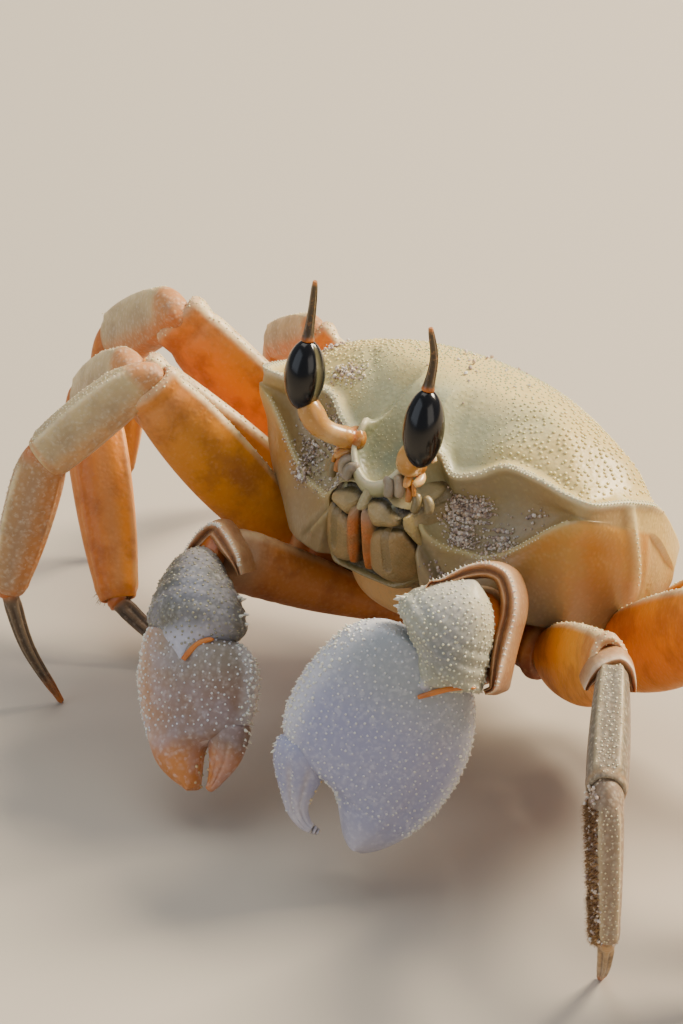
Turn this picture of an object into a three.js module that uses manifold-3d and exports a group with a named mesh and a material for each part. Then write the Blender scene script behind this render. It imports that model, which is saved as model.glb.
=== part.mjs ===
// A horned ghost crab as a still, life-size display model, standing alert with both claws hanging.
// Millimetres, +Z up. The crab faces -Y, its left side is +X, and the floor is z = 0, with the origin
// in the middle of the ground that it covers.
import * as THREE from "three";
import { mergeVertices } from "three/addons/utils/BufferGeometryUtils.js";
import Module from "manifold-3d";

// ---------------------------------------------------------------- driving dimensions
// Lengths named in shell widths are multiplied by SHELL_WIDTH.
const SHELL_WIDTH = 46; // mm between the two outer orbital teeth
const SHELL_LENGTH = 0.69; // shell widths, from the line of the teeth to the back edge
const STANCE_HEIGHT = 0.85; // shell widths, from the floor up to the line of the teeth
const NOSE_UP = THREE.MathUtils.degToRad(18); // the body is pitched with its front raised
const BACK_RISE = 0.165; // highest point of the back above the line of the teeth
const BACK_PEAK_Y = 0.17; // how far behind that line it lies
const WALL_HEIGHT = 0.35; // from the line of the teeth down to the lower edge of the shell
const WALL_INSET = 0.87; // width of the shell's lower edge as a share of its width above
const BELLY_DEPTH = 0.47; // from the line of the teeth down to the belly
const ORBIT_DEPTH = 0.09; // how far the eye hollows go in under the brim
const MOUTH_DEPTH = 0.05; // how far the mouth frame is sunk into the front
const GAP = 0.3; // mm between neighbouring pieces
const FINENESS = 0.1; // mm by which a cut piece may be simplified
const FOOT_RADIUS = 0.45; // mm, half the flat on which each walking leg stands

// ---------------------------------------------------------------- frames and helpers
const X_AXIS = new THREE.Vector3(1, 0, 0);
const UP = new THREE.Vector3(0, 0, 1);
const SIDES = [
  ["left", 1],
  ["right", -1],
];

const wasm = await Module();
wasm.setup();

// A point in shell widths from the floor below the middle of the line of the teeth.
const standing = (x, y, z) => new THREE.Vector3(x, y, z).multiplyScalar(SHELL_WIDTH);
// A point in shell widths from the middle of that line itself, pitched with the body.
const inShell = (x, y, z) =>
  new THREE.Vector3(x, y, z)
    .multiplyScalar(SHELL_WIDTH)
    .applyAxisAngle(X_AXIS, -NOSE_UP)
    .add(standing(0, 0, STANCE_HEIGHT));

// 0 below `low`, 1 above `high`, smooth between.
const rise = (value, low, high) => THREE.MathUtils.smoothstep(value, low, high);
// 1 at `middle`, 0 from `reach` away on either side.
const hump = (value, middle, reach) => 1 - rise(Math.abs(value - middle), 0, reach);
const lerp = THREE.MathUtils.lerp;

// A closed surface of stacked rings with a pole at either end; place(around, ring) gives each point.
function closedSurface(sides, rings, place) {
  const geometry = new THREE.SphereGeometry(1, sides, rings);
  geometry.deleteAttribute("normal");
  geometry.deleteAttribute("uv");
  const position = geometry.getAttribute("position");
  for (let i = 0; i < position.count; i++) {
    const ring = Math.floor(i / (sides + 1));
    const around = (i % (sides + 1)) % sides;
    const point = place(around / sides, ring);
    position.setXYZ(i, point.x, point.y, point.z);
  }
  return mergeVertices(geometry, 1e-5);
}

// A limb piece: rings along a curve. Each row holds the place along the curve from 0 to 1, the reach
// above and below it and the half thickness, in mm. `broad` is the way in which it is broad.
function limb(curve, broad, rows, { sides = 10, square = 0.8 } = {}) {
  const ahead = new THREE.Vector3();
  return closedSurface(sides, rows.length + 1, (around, ring) => {
    const pole = ring === 0 || ring === rows.length + 1;
    const [s, above, below, thick] = rows[THREE.MathUtils.clamp(ring - 1, 0, rows.length - 1)];
    const centre = curve.getPoint(s);
    curve.getTangent(s, ahead);
    const high = broad.clone().addScaledVector(ahead, -broad.dot(ahead)).normalize();
    const across = new THREE.Vector3().crossVectors(high, ahead);
    if (pole) return centre.addScaledVector(high, (above - below) / 2);
    const angle = around * 2 * Math.PI;
    const rounded = (c) => Math.sign(c) * Math.abs(c) ** square;
    const up = (above - below) / 2 + ((above + below) / 2) * rounded(Math.cos(angle));
    return centre.addScaledVector(high, up).addScaledVector(across, thick * rounded(Math.sin(angle)));
  });
}

const straight = (from, to) => new THREE.LineCurve3(from, to);
const bent = (...points) => new THREE.CatmullRomCurve3(points);

// The same geometry with every vertex moved out along its normal.
function grown(geometry, amount) {
  const copy = geometry.clone();
  copy.computeVertexNormals();
  const position = copy.getAttribute("position");
  const normal = copy.getAttribute("normal");
  for (let i = 0; i < position.count; i++) {
    position.setXYZ(
      i,
      position.getX(i) + normal.getX(i) * amount,
      position.getY(i) + normal.getY(i) * amount,
      position.getZ(i) + normal.getZ(i) * amount,
    );
  }
  return copy;
}

function toSolid(geometry) {
  const vertProperties = new Float32Array(geometry.getAttribute("position").array);
  const triVerts = new Uint32Array(geometry.index.array);
  return new wasm.Manifold(new wasm.Mesh({ numProp: 3, vertProperties, triVerts }));
}

function toGeometry(solid) {
  const { vertProperties, triVerts } = solid.getMesh();
  const geometry = new THREE.BufferGeometry();
  geometry.setAttribute("position", new THREE.BufferAttribute(new Float32Array(vertProperties), 3));
  geometry.setIndex(new THREE.BufferAttribute(new Uint32Array(triVerts), 1));
  return geometry;
}

// What is left of a geometry once its neighbours, with the gap round them, are taken out of it.
function clearOf(geometry, ...neighbours) {
  let solid = toSolid(geometry);
  for (const neighbour of neighbours) solid = solid.subtract(toSolid(grown(neighbour, GAP)));
  const bodies = solid.simplify(FINENESS).decompose();
  bodies.sort((a, b) => b.volume() - a.volume());
  return toGeometry(bodies[0]);
}

// ---------------------------------------------------------------- colours
const SHELL_COLOUR = { color: 0xd9c98a, roughness: 0.45, metalness: 0 };
const BELLY_COLOUR = { color: 0xe6d9bf, roughness: 0.55, metalness: 0 };
const MOUTH_COLOUR = { color: 0xa99b5a, roughness: 0.5, metalness: 0 };
const LEG_COLOUR = { color: 0xe0913c, roughness: 0.5, metalness: 0 };
const PALE_LEG_COLOUR = { color: 0xd8c3a0, roughness: 0.55, metalness: 0 };
const DACTYL_COLOUR = { color: 0x8a7358, roughness: 0.5, metalness: 0 };
const CLAW_COLOUR = { color: 0xdcd5dc, roughness: 0.5, metalness: 0 };
const STALK_COLOUR = { color: 0xe8c79a, roughness: 0.45, metalness: 0 };
const EYE_COLOUR = { color: 0x0b0a0d, roughness: 0.12, metalness: 0 };
const HORN_COLOUR = { color: 0x7a4f24, roughness: 0.4, metalness: 0 };

const crab = new THREE.Group();
crab.name = "ghost_crab";

function addPiece(name, geometry, colour) {
  geometry.computeVertexNormals();
  const mesh = new THREE.Mesh(geometry, new THREE.MeshStandardMaterial(colour));
  mesh.name = name;
  crab.add(mesh);
  return geometry;
}

// ---------------------------------------------------------------- carapace
// The left half of the rim, from the tip of the beak round to the middle of the back edge.
const LEFT_RIM = [
  [0, -0.185, -0.115], // tip of the beak
  [0.045, -0.182, -0.095],
  [0.076, -0.172, -0.05], // side of the beak
  [0.082, -0.145, 0.002], // its neck, beside the root of the eye
  [0.112, -0.095, -0.01],
  [0.15, -0.08, -0.052], // dip of the brim behind the eye
  [0.205, -0.065, -0.036],
  [0.27, -0.045, 0.004], // hump of the brim
  [0.36, -0.03, 0.002],
  [0.44, -0.025, -0.008],
  [0.505, -0.015, -0.01], // outer orbital tooth
  [0.525, 0.1, -0.008],
  [0.525, 0.23, -0.03],
  [0.49, 0.37, -0.11],
  [0.42, 0.51, -0.19],
  [0.29, 0.63, -0.24],
  [0, SHELL_LENGTH, -0.25], // middle of the back edge
];
const rightRim = LEFT_RIM.slice(1, -1).reverse().map(([x, y, z]) => [-x, y, z]);
const rimCurve = new THREE.CatmullRomCurve3(
  [...LEFT_RIM, ...rightRim].map((point) => new THREE.Vector3(...point)),
  true,
);
const SHELL_COLUMNS = 60;
const BACK_CENTRE_Y = 0.28;

const frontness = (rim) => 1 - rise(rim.y, -0.02, 0.16);
// How far open the eye hollow is under this part of the brim.
const orbitOpening = (rim) => {
  const x = Math.abs(rim.x);
  return frontness(rim) * rise(x, 0.06, 0.13) * (1 - rise(x, 0.4, 0.5));
};

// Height of the arched back, which is highest near the front and falls away behind.
function backHeight(x, y) {
  const ahead = Math.max(0, BACK_PEAK_Y - y);
  const behind = Math.max(0, y - BACK_PEAK_Y);
  const shoulder = 0.5 * Math.exp(5 * Math.max(0, y - 0.2));
  return BACK_RISE - 1.45 * ahead ** 2 - 0.6 * behind ** 1.5 - shoulder * Math.abs(x) ** 2.4;
}

// The back, from its middle at 0 to the rim at 1, where it comes down to meet the brim.
function backPoint(rim, share) {
  const x = rim.x * share;
  const y = lerp(BACK_CENTRE_Y, rim.y, share);
  const landing = rise(1 - share, 0, lerp(0.16, 0.36, frontness(rim)));
  return [x, y, lerp(rim.z, Math.max(backHeight(x, y), rim.z), landing)];
}

// The lower lip of the eye hollow, which runs on round the sides just below the rim.
function lipPoint(rim) {
  const x = Math.abs(rim.x);
  const front = frontness(rim);
  const frontDrop = lerp(-0.17 - 0.047 * rise(x, 0.09, 0.2), -0.045, rise(x, 0.25, 0.52));
  return [
    rim.x * (1 + 0.1 * hump(x, 0.09, 0.08) * front),
    rim.y - front * (0.01 + 0.045 * hump(x, 0.11, 0.13)),
    lerp(rim.z - 0.06, frontDrop, front),
  ];
}

// The lower edge of the shell, from 0 at the lip to 1 at the edge, with the walls bulging between.
function wallPoint(rim, share) {
  const x = Math.abs(rim.x);
  const front = frontness(rim);
  const [lipX, lipY, lipZ] = lipPoint(rim);
  const spread = 0.06 * rise(x, 0, 0.1) * (1 - rise(x, 0.15, 0.45)) * front;
  const edgeX = Math.sign(rim.x) * (x * WALL_INSET + spread);
  const edgeY = lerp(rim.y * 0.9 + 0.04, -0.115 + 0.7 * x * x, front);
  const edgeZ = -WALL_HEIGHT - 0.035 * hump(rim.y, 0.25, 0.3);
  const taper = share ** 2.2;
  const bulge = 0.02 * Math.sin(Math.PI * share);
  const mouth = MOUTH_DEPTH * (1 - rise(x, 0.085, 0.125)) * front * rise(share, 0, 0.12);
  return [
    lerp(lipX, edgeX, taper) + Math.sign(rim.x) * bulge * rise(x, 0.2, 0.5),
    lerp(lipY, edgeY, lerp(taper, share, front)) + mouth - bulge * front,
    lerp(lipZ, edgeZ, share),
  ];
}

const BACK_SHARES = [0.26, 0.5, 0.68, 0.82, 0.93, 1];
const WALL_SHARES = [0, 0.08, 0.4, 0.75, 1];
const SHELL_RINGS = [
  ...BACK_SHARES.map((share) => (rim) => backPoint(rim, share)),
  (rim) => {
    const open = orbitOpening(rim);
    return [rim.x, rim.y + 0.4 * ORBIT_DEPTH * open, rim.z - 0.025 - 0.008 * open];
  },
  (rim) => {
    const open = orbitOpening(rim);
    const lip = lipPoint(rim);
    const hollow = Math.max(open, 0.6 * frontness(rim) * (1 - rise(Math.abs(rim.x), 0.04, 0.1)));
    return [rim.x, rim.y + ORBIT_DEPTH * hollow, lerp(rim.z - 0.035, lip[2], 0.35)];
  },
  (rim) => {
    const open = orbitOpening(rim);
    const lip = lipPoint(rim);
    return [lip[0], lip[1] + ORBIT_DEPTH * open, lerp(rim.z - 0.035, lip[2], 0.85)];
  },
  ...WALL_SHARES.map((share) => (rim) => wallPoint(rim, share)),
  (rim) => {
    const [x, y] = wallPoint(rim, 1);
    return [x * 0.93, lerp(BACK_CENTRE_Y, y, 0.93), -WALL_HEIGHT + 0.01];
  },
];

const carapace = closedSurface(SHELL_COLUMNS, SHELL_RINGS.length + 1, (around, ring) => {
  if (ring === 0) return inShell(0, BACK_CENTRE_Y, backHeight(0, BACK_CENTRE_Y));
  if (ring > SHELL_RINGS.length) return inShell(0, BACK_CENTRE_Y, -WALL_HEIGHT + 0.01);
  return inShell(...SHELL_RINGS[ring - 1](rimCurve.getPoint(around)));
});

// ---------------------------------------------------------------- underside
const THORAX_TOP = -WALL_HEIGHT - 0.005;
const THORAX_MIDDLE_Y = 0.29;
const THORAX_HALF_WIDTH = 0.31;
const THORAX_HALF_LENGTH = 0.33;
const THORAX_NARROWING = 0.35; // share of its width that is lost towards the mouth
const THORAX_RINGS = 7;
const THORAX_LEVELS = [0, 0, 0.1, 0.45, 0.8, 1, 1, 1]; // from the shell down to the belly
const THORAX_SIZES = [0, 1, 1, 0.97, 0.88, 0.7, 0.3, 0]; // shares of the half width and length
const thorax = closedSurface(18, THORAX_RINGS, (around, ring) => {
  const angle = around * 2 * Math.PI;
  const rounded = (c) => Math.sign(c) * Math.abs(c) ** 0.75;
  const size = THORAX_SIZES[ring];
  const narrowed = 1 - THORAX_NARROWING * Math.max(0, Math.cos(angle));
  return inShell(
    THORAX_HALF_WIDTH * narrowed * rounded(Math.sin(angle)) * size,
    THORAX_MIDDLE_Y - THORAX_HALF_LENGTH * rounded(Math.cos(angle)) * size,
    lerp(THORAX_TOP, -BELLY_DEPTH, THORAX_LEVELS[ring]),
  );
});

// The tail flap lies folded forward under the belly.
const FLAP_ROWS = [
  [0, 1.1, 0, 2.4],
  [0.5, 1.3, 0, 4.2],
  [0.9, 1.3, 0, 5.6],
  [1, 1, 0, 4.6],
];
const flapCurve = bent(
  inShell(0, 0.12, -BELLY_DEPTH - 0.018),
  inShell(0, 0.4, -BELLY_DEPTH - 0.022),
  inShell(0, 0.63, -BELLY_DEPTH + 0.06),
);
const abdomen = limb(flapCurve, inShell(0, 0, -1).sub(inShell(0, 0, 0)), FLAP_ROWS, { sides: 8 });

// ---------------------------------------------------------------- mouth
const JAW_ROWS = [
  [0, 1.4, 1.7, 0.8],
  [0.4, 2.6, 2.4, 1.2],
  [0.8, 3.4, 2.6, 1.2],
  [1, 2.6, 2.2, 0.9],
];
function jaw(side) {
  const curve = straight(inShell(side * 0.052, -0.178, -0.185), inShell(side * 0.07, -0.108, -0.36));
  return limb(curve, X_AXIS.clone().multiplyScalar(side), JAW_ROWS, { sides: 8 });
}

// ---------------------------------------------------------------- eyes
const EYE_BASE = [0.178, -0.262, 0.008]; // lower end of the black eye
const EYE_TOP = [0.184, -0.286, 0.18]; // upper end, where the horn starts
const EYE_HALF_WIDTH = 2.05; // mm
const HORN_FOOT = [0.184, -0.286, 0.192];
const HORN_BEND = [0.186, -0.292, 0.255];
const HORN_TIP = [0.176, -0.316, 0.325];
// The stalk comes out beside the beak, turns up at the eye and runs up behind it to the horn.
const STALK_PATH = [
  [0.092, -0.15, -0.045],
  [0.12, -0.2, -0.03],
  [0.16, -0.245, 0.005],
  [0.165, -0.258, 0.08],
  [0.178, -0.28, 0.188],
];
const STALK_ROWS = [
  [0, 1.5, 1.5, 1.5],
  [0.35, 1.45, 1.45, 1.45],
  [0.62, 1.9, 1.9, 1.9],
  [0.85, 1.45, 1.45, 1.45],
  [1, 0.8, 0.8, 0.8],
];
const HORN_ROWS = [
  [0, 0.62, 0.62, 0.62],
  [0.15, 0.52, 0.52, 0.52],
  [0.5, 0.42, 0.42, 0.42],
  [0.96, 0.3, 0.3, 0.3],
  [1, 0.2, 0.2, 0.2],
];
const EYE_RINGS = 6;
const EYE_ACROSS = new THREE.Vector3(0, 1, 0);
const onSide = (side) => ([x, y, z]) => inShell(side * x, y, z);

function eyeBall(side) {
  const place = onSide(side);
  const rows = [];
  for (let i = 0; i < EYE_RINGS; i++) {
    const s = (1 - Math.cos((Math.PI * (i + 0.4)) / (EYE_RINGS - 0.2))) / 2;
    const half = EYE_HALF_WIDTH * Math.sqrt(1 - (2 * s - 1) ** 2);
    rows.push([s, half, half, half]);
  }
  return limb(straight(place(EYE_BASE), place(EYE_TOP)), EYE_ACROSS, rows, { square: 1 });
}

function eyeStalk(side) {
  const curve = bent(...STALK_PATH.map(onSide(side)));
  return limb(curve, new THREE.Vector3(0, 1, 0.3), STALK_ROWS, { sides: 8, square: 1 });
}

function eyeHorn(side) {
  const curve = bent(...[HORN_FOOT, HORN_BEND, HORN_TIP].map(onSide(side)));
  return limb(curve, EYE_ACROSS, HORN_ROWS, { sides: 8, square: 1 });
}

// ---------------------------------------------------------------- walking legs
// Rows of place along the piece, and reach above, below and across as shares of its breadth.
const COXA_ROWS = [
  [0, 0.36, 0.36, 0.24],
  [0.6, 0.38, 0.4, 0.25],
  [1, 0.3, 0.36, 0.2],
];
const MERUS_ROWS = [
  [0, 0.24, 0.28, 0.15],
  [0.16, 0.38, 0.43, 0.19],
  [0.45, 0.46, 0.52, 0.2],
  [0.75, 0.44, 0.46, 0.2],
  [1, 0.36, 0.28, 0.2],
];
const CARPUS_ROWS = [
  [0, 0.22, 0.2, 0.15],
  [0.15, 0.36, 0.27, 0.21],
  [0.7, 0.38, 0.33, 0.25],
  [1, 0.26, 0.28, 0.2],
];
const PROPODUS_ROWS = [
  [0, 0.29, 0.27, 0.19],
  [0.15, 0.36, 0.33, 0.21],
  [0.6, 0.34, 0.31, 0.19],
  [1, 0.2, 0.19, 0.13],
];
const DACTYL_ROWS = [
  [0, 0.17, 0.17, 0.12],
  [0.15, 0.19, 0.19, 0.13],
  [0.5, 0.14, 0.14, 0.1],
  [0.85, 0.08, 0.08, 0.07],
];

// Each leg: its breadth in mm, and its joints in shell widths in the standing frame, from the body
// outwards: root, hip, knee, end of the carpus, end of the propodus, and the foot on the floor.
const LEGS = [
  {
    name: "leg1_left", breadth: 9.2,
    root: [0.24, 0.02, 0.42], hip: [0.38, -0.02, 0.4], knee: [0.827, -0.322, 0.67],
    ankle: [1.027, -0.584, 0.561], heel: [1.09, -0.647, 0.233], foot: [0.958, -0.5],
  },
  {
    name: "leg2_left", breadth: 10.6,
    root: [0.27, 0.14, 0.37], hip: [0.43, 0.13, 0.35], knee: [0.95, -0.07, 0.73],
    ankle: [1.23, -0.2, 0.56], heel: [1.3, -0.24, 0.2], foot: [1.12, -0.17],
  },
  {
    name: "leg3_left", breadth: 10.2,
    root: [0.26, 0.29, 0.33], hip: [0.43, 0.31, 0.31], knee: [0.97, 0.22, 0.72],
    ankle: [1.25, 0.2, 0.54], heel: [1.33, 0.2, 0.22], foot: [1.2, 0.2],
  },
  {
    name: "leg4_left", breadth: 7,
    root: [0.22, 0.42, 0.3], hip: [0.33, 0.48, 0.29], knee: [0.84, 0.62, 0.6],
    ankle: [1.06, 0.74, 0.46], heel: [1.13, 0.78, 0.2], foot: [1.09, 0.77],
  },
  {
    name: "leg1_right", breadth: 8.8,
    root: [-0.24, 0.02, 0.42], hip: [-0.4, -0.03, 0.41], knee: [-0.637, -0.301, 0.871],
    ankle: [-0.803, -0.469, 0.678], heel: [-0.872, -0.539, 0.314], foot: [-0.787, -0.456],
  },
  {
    name: "leg2_right", breadth: 10.6,
    root: [-0.27, 0.14, 0.37], hip: [-0.43, 0.13, 0.36], knee: [-0.9, -0.08, 0.715],
    ankle: [-1.14, 0.02, 0.51], heel: [-0.86, -0.18, 0.14], foot: [-0.62, -0.12],
  },
  {
    name: "leg3_right", breadth: 10.2,
    root: [-0.26, 0.29, 0.33], hip: [-0.43, 0.31, 0.32], knee: [-0.95, 0.12, 0.79],
    ankle: [-1.24, 0.23, 0.58], heel: [-1.21, 0.17, 0.23], foot: [-1.15, 0.17],
  },
  {
    name: "leg4_right", breadth: 7,
    root: [-0.22, 0.42, 0.3], hip: [-0.33, 0.48, 0.29], knee: [-0.82, 0.5, 0.64],
    ankle: [-1.04, 0.6, 0.5], heel: [-1.09, 0.63, 0.2], foot: [-1.05, 0.62],
  },
];

const scaled = (rows, breadth) =>
  rows.map(([s, above, below, thick]) => [s, above * breadth, below * breadth, thick * breadth]);

function buildLeg(leg) {
  const joints = [leg.root, leg.hip, leg.knee, leg.ankle, leg.heel];
  const [root, hip, knee, ankle, heel] = joints.map((p) => standing(...p));
  const foot = standing(...leg.foot, 0);
  const segment = (from, to, rows, sides) => {
    const start = from.clone().lerp(to, GAP / from.distanceTo(to));
    return limb(straight(start, to), UP, scaled(rows, leg.breadth), { sides });
  };
  const outward = foot.clone().sub(heel).setZ(0).normalize();
  const bow = heel.clone().lerp(foot, 0.5).addScaledVector(outward, -0.1 * leg.breadth);
  const rows = [...scaled(DACTYL_ROWS, leg.breadth), [1, FOOT_RADIUS, FOOT_RADIUS, FOOT_RADIUS]];
  const dactyl = limb(bent(heel, bow, foot), UP, rows, { sides: 6 });
  const position = dactyl.getAttribute("position");
  for (let i = 0; i < position.count; i++) {
    if (position.getZ(i) < FOOT_RADIUS) position.setZ(i, 0);
  }
  return {
    coxa: segment(root, hip, COXA_ROWS, 6),
    merus: segment(hip, knee, MERUS_ROWS, 8),
    carpus: segment(knee, ankle, CARPUS_ROWS, 8),
    propodus: segment(ankle, heel, PROPODUS_ROWS, 8),
    dactyl,
  };
}

let coxa = thorax;
const frontCoxae = [];
for (const leg of LEGS) {
  const pieces = buildLeg(leg);
  const dactyl = clearOf(pieces.dactyl, pieces.propodus);
  const propodus = clearOf(pieces.propodus, pieces.carpus);
  const merus = clearOf(pieces.merus, pieces.carpus, carapace);
  coxa = clearOf(pieces.coxa, pieces.merus, thorax, carapace, coxa);
  if (leg.name.startsWith("leg1")) frontCoxae.push(coxa);
  addPiece(`${leg.name}_coxa`, coxa, LEG_COLOUR);
  addPiece(`${leg.name}_merus`, merus, LEG_COLOUR);
  addPiece(`${leg.name}_carpus`, pieces.carpus, PALE_LEG_COLOUR);
  addPiece(`${leg.name}_propodus`, propodus, PALE_LEG_COLOUR);
  addPiece(`${leg.name}_dactyl`, dactyl, DACTYL_COLOUR);
}

// ---------------------------------------------------------------- claws
const CLAW_MERUS_ROWS = [
  [0, 0.3, 0.3, 0.24],
  [0.5, 0.46, 0.45, 0.33],
  [0.92, 0.6, 0.55, 0.42],
  [1, 0.55, 0.5, 0.38],
];
const CLAW_CARPUS_ROWS = [
  [0, 0.25, 0.25, 0.2],
  [0.15, 0.42, 0.42, 0.34],
  [0.5, 0.52, 0.5, 0.4],
  [0.85, 0.46, 0.46, 0.34],
  [1, 0.3, 0.3, 0.22],
];
const PALM_START = -0.2; // how far behind the wrist a palm's rounded heel reaches, along its length
const PALM_WAIST = [0.25, 0.85]; // where a palm is thickest, and how far from there it thins out

// Each claw's joints are in shell widths in the standing frame, and its breadths are in mm. A palm
// row holds the place from the wrist at 0 to the tip at 1, and the reach above and below that line
// in shell widths. A finger row holds the place, the height above that line and the half breadth.
const CLAWS = [
  {
    name: "claw_left",
    side: 1,
    outerFace: [0.62, -0.72, 0.3],
    shoulder: [0.2, -0.02, 0.36],
    elbow: [0.415, -0.27, 0.61],
    carpusStart: [0.4, -0.285, 0.64],
    carpusEnd: [0.325, -0.395, 0.475],
    wrist: [0.35, -0.37, 0.455],
    tip: [0.27, -0.59, 0.085],
    merusBreadth: 11.5,
    carpusBreadth: 11.5,
    palmHalfThickness: 4.4,
    palm: [
      [-0.19, 0.2, -0.1],
      [-0.08, 0.24, 0],
      [0.11, 0.27, 0.12],
      [0.28, 0.287, 0.165],
      [0.45, 0.282, 0.175],
      [0.6, 0.262, 0.168],
      [0.69, 0.2, 0.155],
      [0.77, 0.1, 0.14],
      [0.85, 0.055, 0.11],
      [0.93, 0.04, 0.08],
      [0.99, 0.01, 0.04],
    ],
    finger: [
      [0.62, 0.2, 3.2],
      [0.78, 0.19, 2.5],
      [0.92, 0.155, 1.9],
      [1.02, 0.105, 1.3],
      [1.025, 0.075, 0.5],
    ],
  },
  {
    name: "claw_right",
    side: -1,
    outerFace: [0.25, -0.92, 0.3],
    shoulder: [-0.2, -0.02, 0.33],
    elbow: [-0.425, -0.31, 0.5],
    carpusStart: [-0.4, -0.3, 0.505],
    carpusEnd: [-0.275, -0.49, 0.37],
    wrist: [-0.263, -0.495, 0.37],
    tip: [-0.15, -0.625, 0.085],
    merusBreadth: 8,
    carpusBreadth: 10,
    palmHalfThickness: 3.1,
    palm: [
      [-0.1, 0.06, 0.11],
      [0, 0.11, 0.155],
      [0.14, 0.14, 0.172],
      [0.35, 0.145, 0.168],
      [0.55, 0.125, 0.15],
      [0.65, 0.065, 0.138],
      [0.75, 0, 0.12],
      [0.85, -0.02, 0.09],
      [0.94, -0.035, 0.06],
    ],
    finger: [
      [0.62, 0.06, 2.1],
      [0.75, 0.055, 1.9],
      [0.88, 0.04, 1.5],
      [0.97, 0.02, 0.9],
      [1, 0.01, 0.4],
    ],
  },
];

function buildClaw(claw) {
  const wrist = standing(...claw.wrist);
  const along = standing(...claw.tip).sub(wrist);
  const dorsal = new THREE.Vector3(...claw.outerFace).cross(along).normalize().multiplyScalar(-claw.side);
  const place = (share, height) =>
    wrist.clone().addScaledVector(along, share).addScaledVector(dorsal, height * SHELL_WIDTH);

  const [thickest, thinning] = PALM_WAIST;
  const palmRows = claw.palm.map(([share, above, below]) => {
    const fullness = Math.max(0.04, 1 - ((share - thickest) / thinning) ** 2);
    const s = (share - PALM_START) / (1 - PALM_START);
    return [s, above * SHELL_WIDTH, below * SHELL_WIDTH, claw.palmHalfThickness * Math.sqrt(fullness)];
  });
  const fingerRows = claw.finger.map(([, , half], i) => {
    return [i / (claw.finger.length - 1), half, half, Math.max(0.5, 0.8 * half)];
  });
  const fingerCurve = bent(...claw.finger.map(([share, height]) => place(share, height)));
  const carpusLine = straight(standing(...claw.carpusStart), standing(...claw.carpusEnd));
  const merusLine = straight(standing(...claw.shoulder), standing(...claw.elbow));
  return {
    merus: limb(merusLine, UP, scaled(CLAW_MERUS_ROWS, claw.merusBreadth), { sides: 8 }),
    carpus: limb(carpusLine, dorsal, scaled(CLAW_CARPUS_ROWS, claw.carpusBreadth)),
    palm: limb(straight(place(PALM_START, 0), place(1, 0)), dorsal, palmRows, { sides: 12, square: 0.9 }),
    finger: limb(fingerCurve, dorsal, fingerRows, { sides: 8 }),
  };
}

for (const claw of CLAWS) {
  const pieces = buildClaw(claw);
  const near = [pieces.carpus, pieces.palm, carapace, thorax, ...frontCoxae];
  addPiece(`${claw.name}_merus`, clearOf(pieces.merus, ...near), LEG_COLOUR);
  addPiece(`${claw.name}_carpus`, clearOf(pieces.carpus, pieces.palm), CLAW_COLOUR);
  addPiece(`${claw.name}_palm`, clearOf(pieces.palm, pieces.finger), CLAW_COLOUR);
  addPiece(`${claw.name}_finger`, pieces.finger, CLAW_COLOUR);
}

// ---------------------------------------------------------------- body pieces
addPiece("carapace", carapace, SHELL_COLOUR);
addPiece("thorax", clearOf(thorax, carapace), BELLY_COLOUR);
addPiece("abdomen", clearOf(abdomen, thorax), BELLY_COLOUR);
for (const [name, side] of SIDES) {
  const ball = eyeBall(side);
  const horn = eyeHorn(side);
  addPiece(`maxilliped_${name}`, clearOf(jaw(side), carapace), MOUTH_COLOUR);
  addPiece(`eyestalk_${name}`, clearOf(eyeStalk(side), ball, horn, carapace), STALK_COLOUR);
  addPiece(`cornea_${name}`, ball, EYE_COLOUR);
  addPiece(`horn_${name}`, clearOf(horn, ball), HORN_COLOUR);
}

// ---------------------------------------------------------------- origin
const ground = new THREE.Box3().setFromObject(crab).getCenter(new THREE.Vector3()).setZ(0);
for (const piece of crab.children) piece.geometry.translate(-ground.x, -ground.y, 0);

export default crab;
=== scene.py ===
import math

import bpy
import numpy as np
from bpy.props import FloatProperty, FloatVectorProperty, IntProperty, PointerProperty
from mathutils import Matrix, Vector


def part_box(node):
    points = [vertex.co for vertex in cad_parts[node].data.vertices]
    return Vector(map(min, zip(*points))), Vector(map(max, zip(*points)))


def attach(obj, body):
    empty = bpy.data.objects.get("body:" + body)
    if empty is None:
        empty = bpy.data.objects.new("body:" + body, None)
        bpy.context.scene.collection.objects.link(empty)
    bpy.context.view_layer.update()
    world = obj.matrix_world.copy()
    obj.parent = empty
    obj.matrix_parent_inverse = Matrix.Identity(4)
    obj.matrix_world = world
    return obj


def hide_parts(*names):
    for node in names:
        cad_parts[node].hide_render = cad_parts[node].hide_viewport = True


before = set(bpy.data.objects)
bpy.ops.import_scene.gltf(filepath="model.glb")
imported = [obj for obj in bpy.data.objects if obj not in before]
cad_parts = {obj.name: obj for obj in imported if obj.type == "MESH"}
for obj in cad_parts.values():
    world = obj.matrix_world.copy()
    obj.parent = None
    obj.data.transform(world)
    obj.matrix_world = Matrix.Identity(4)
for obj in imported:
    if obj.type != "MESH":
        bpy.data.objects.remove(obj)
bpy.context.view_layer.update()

bl_info = {
    "name": "Horned ghost crab",
    "version": (1, 0, 0),
    "blender": (4, 5, 0),
    "location": "View3D > Sidebar > Ghost crab",
    "description": "Builds the looks of a life-size horned ghost crab on its solid frame",
    "category": "Object",
}

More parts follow.
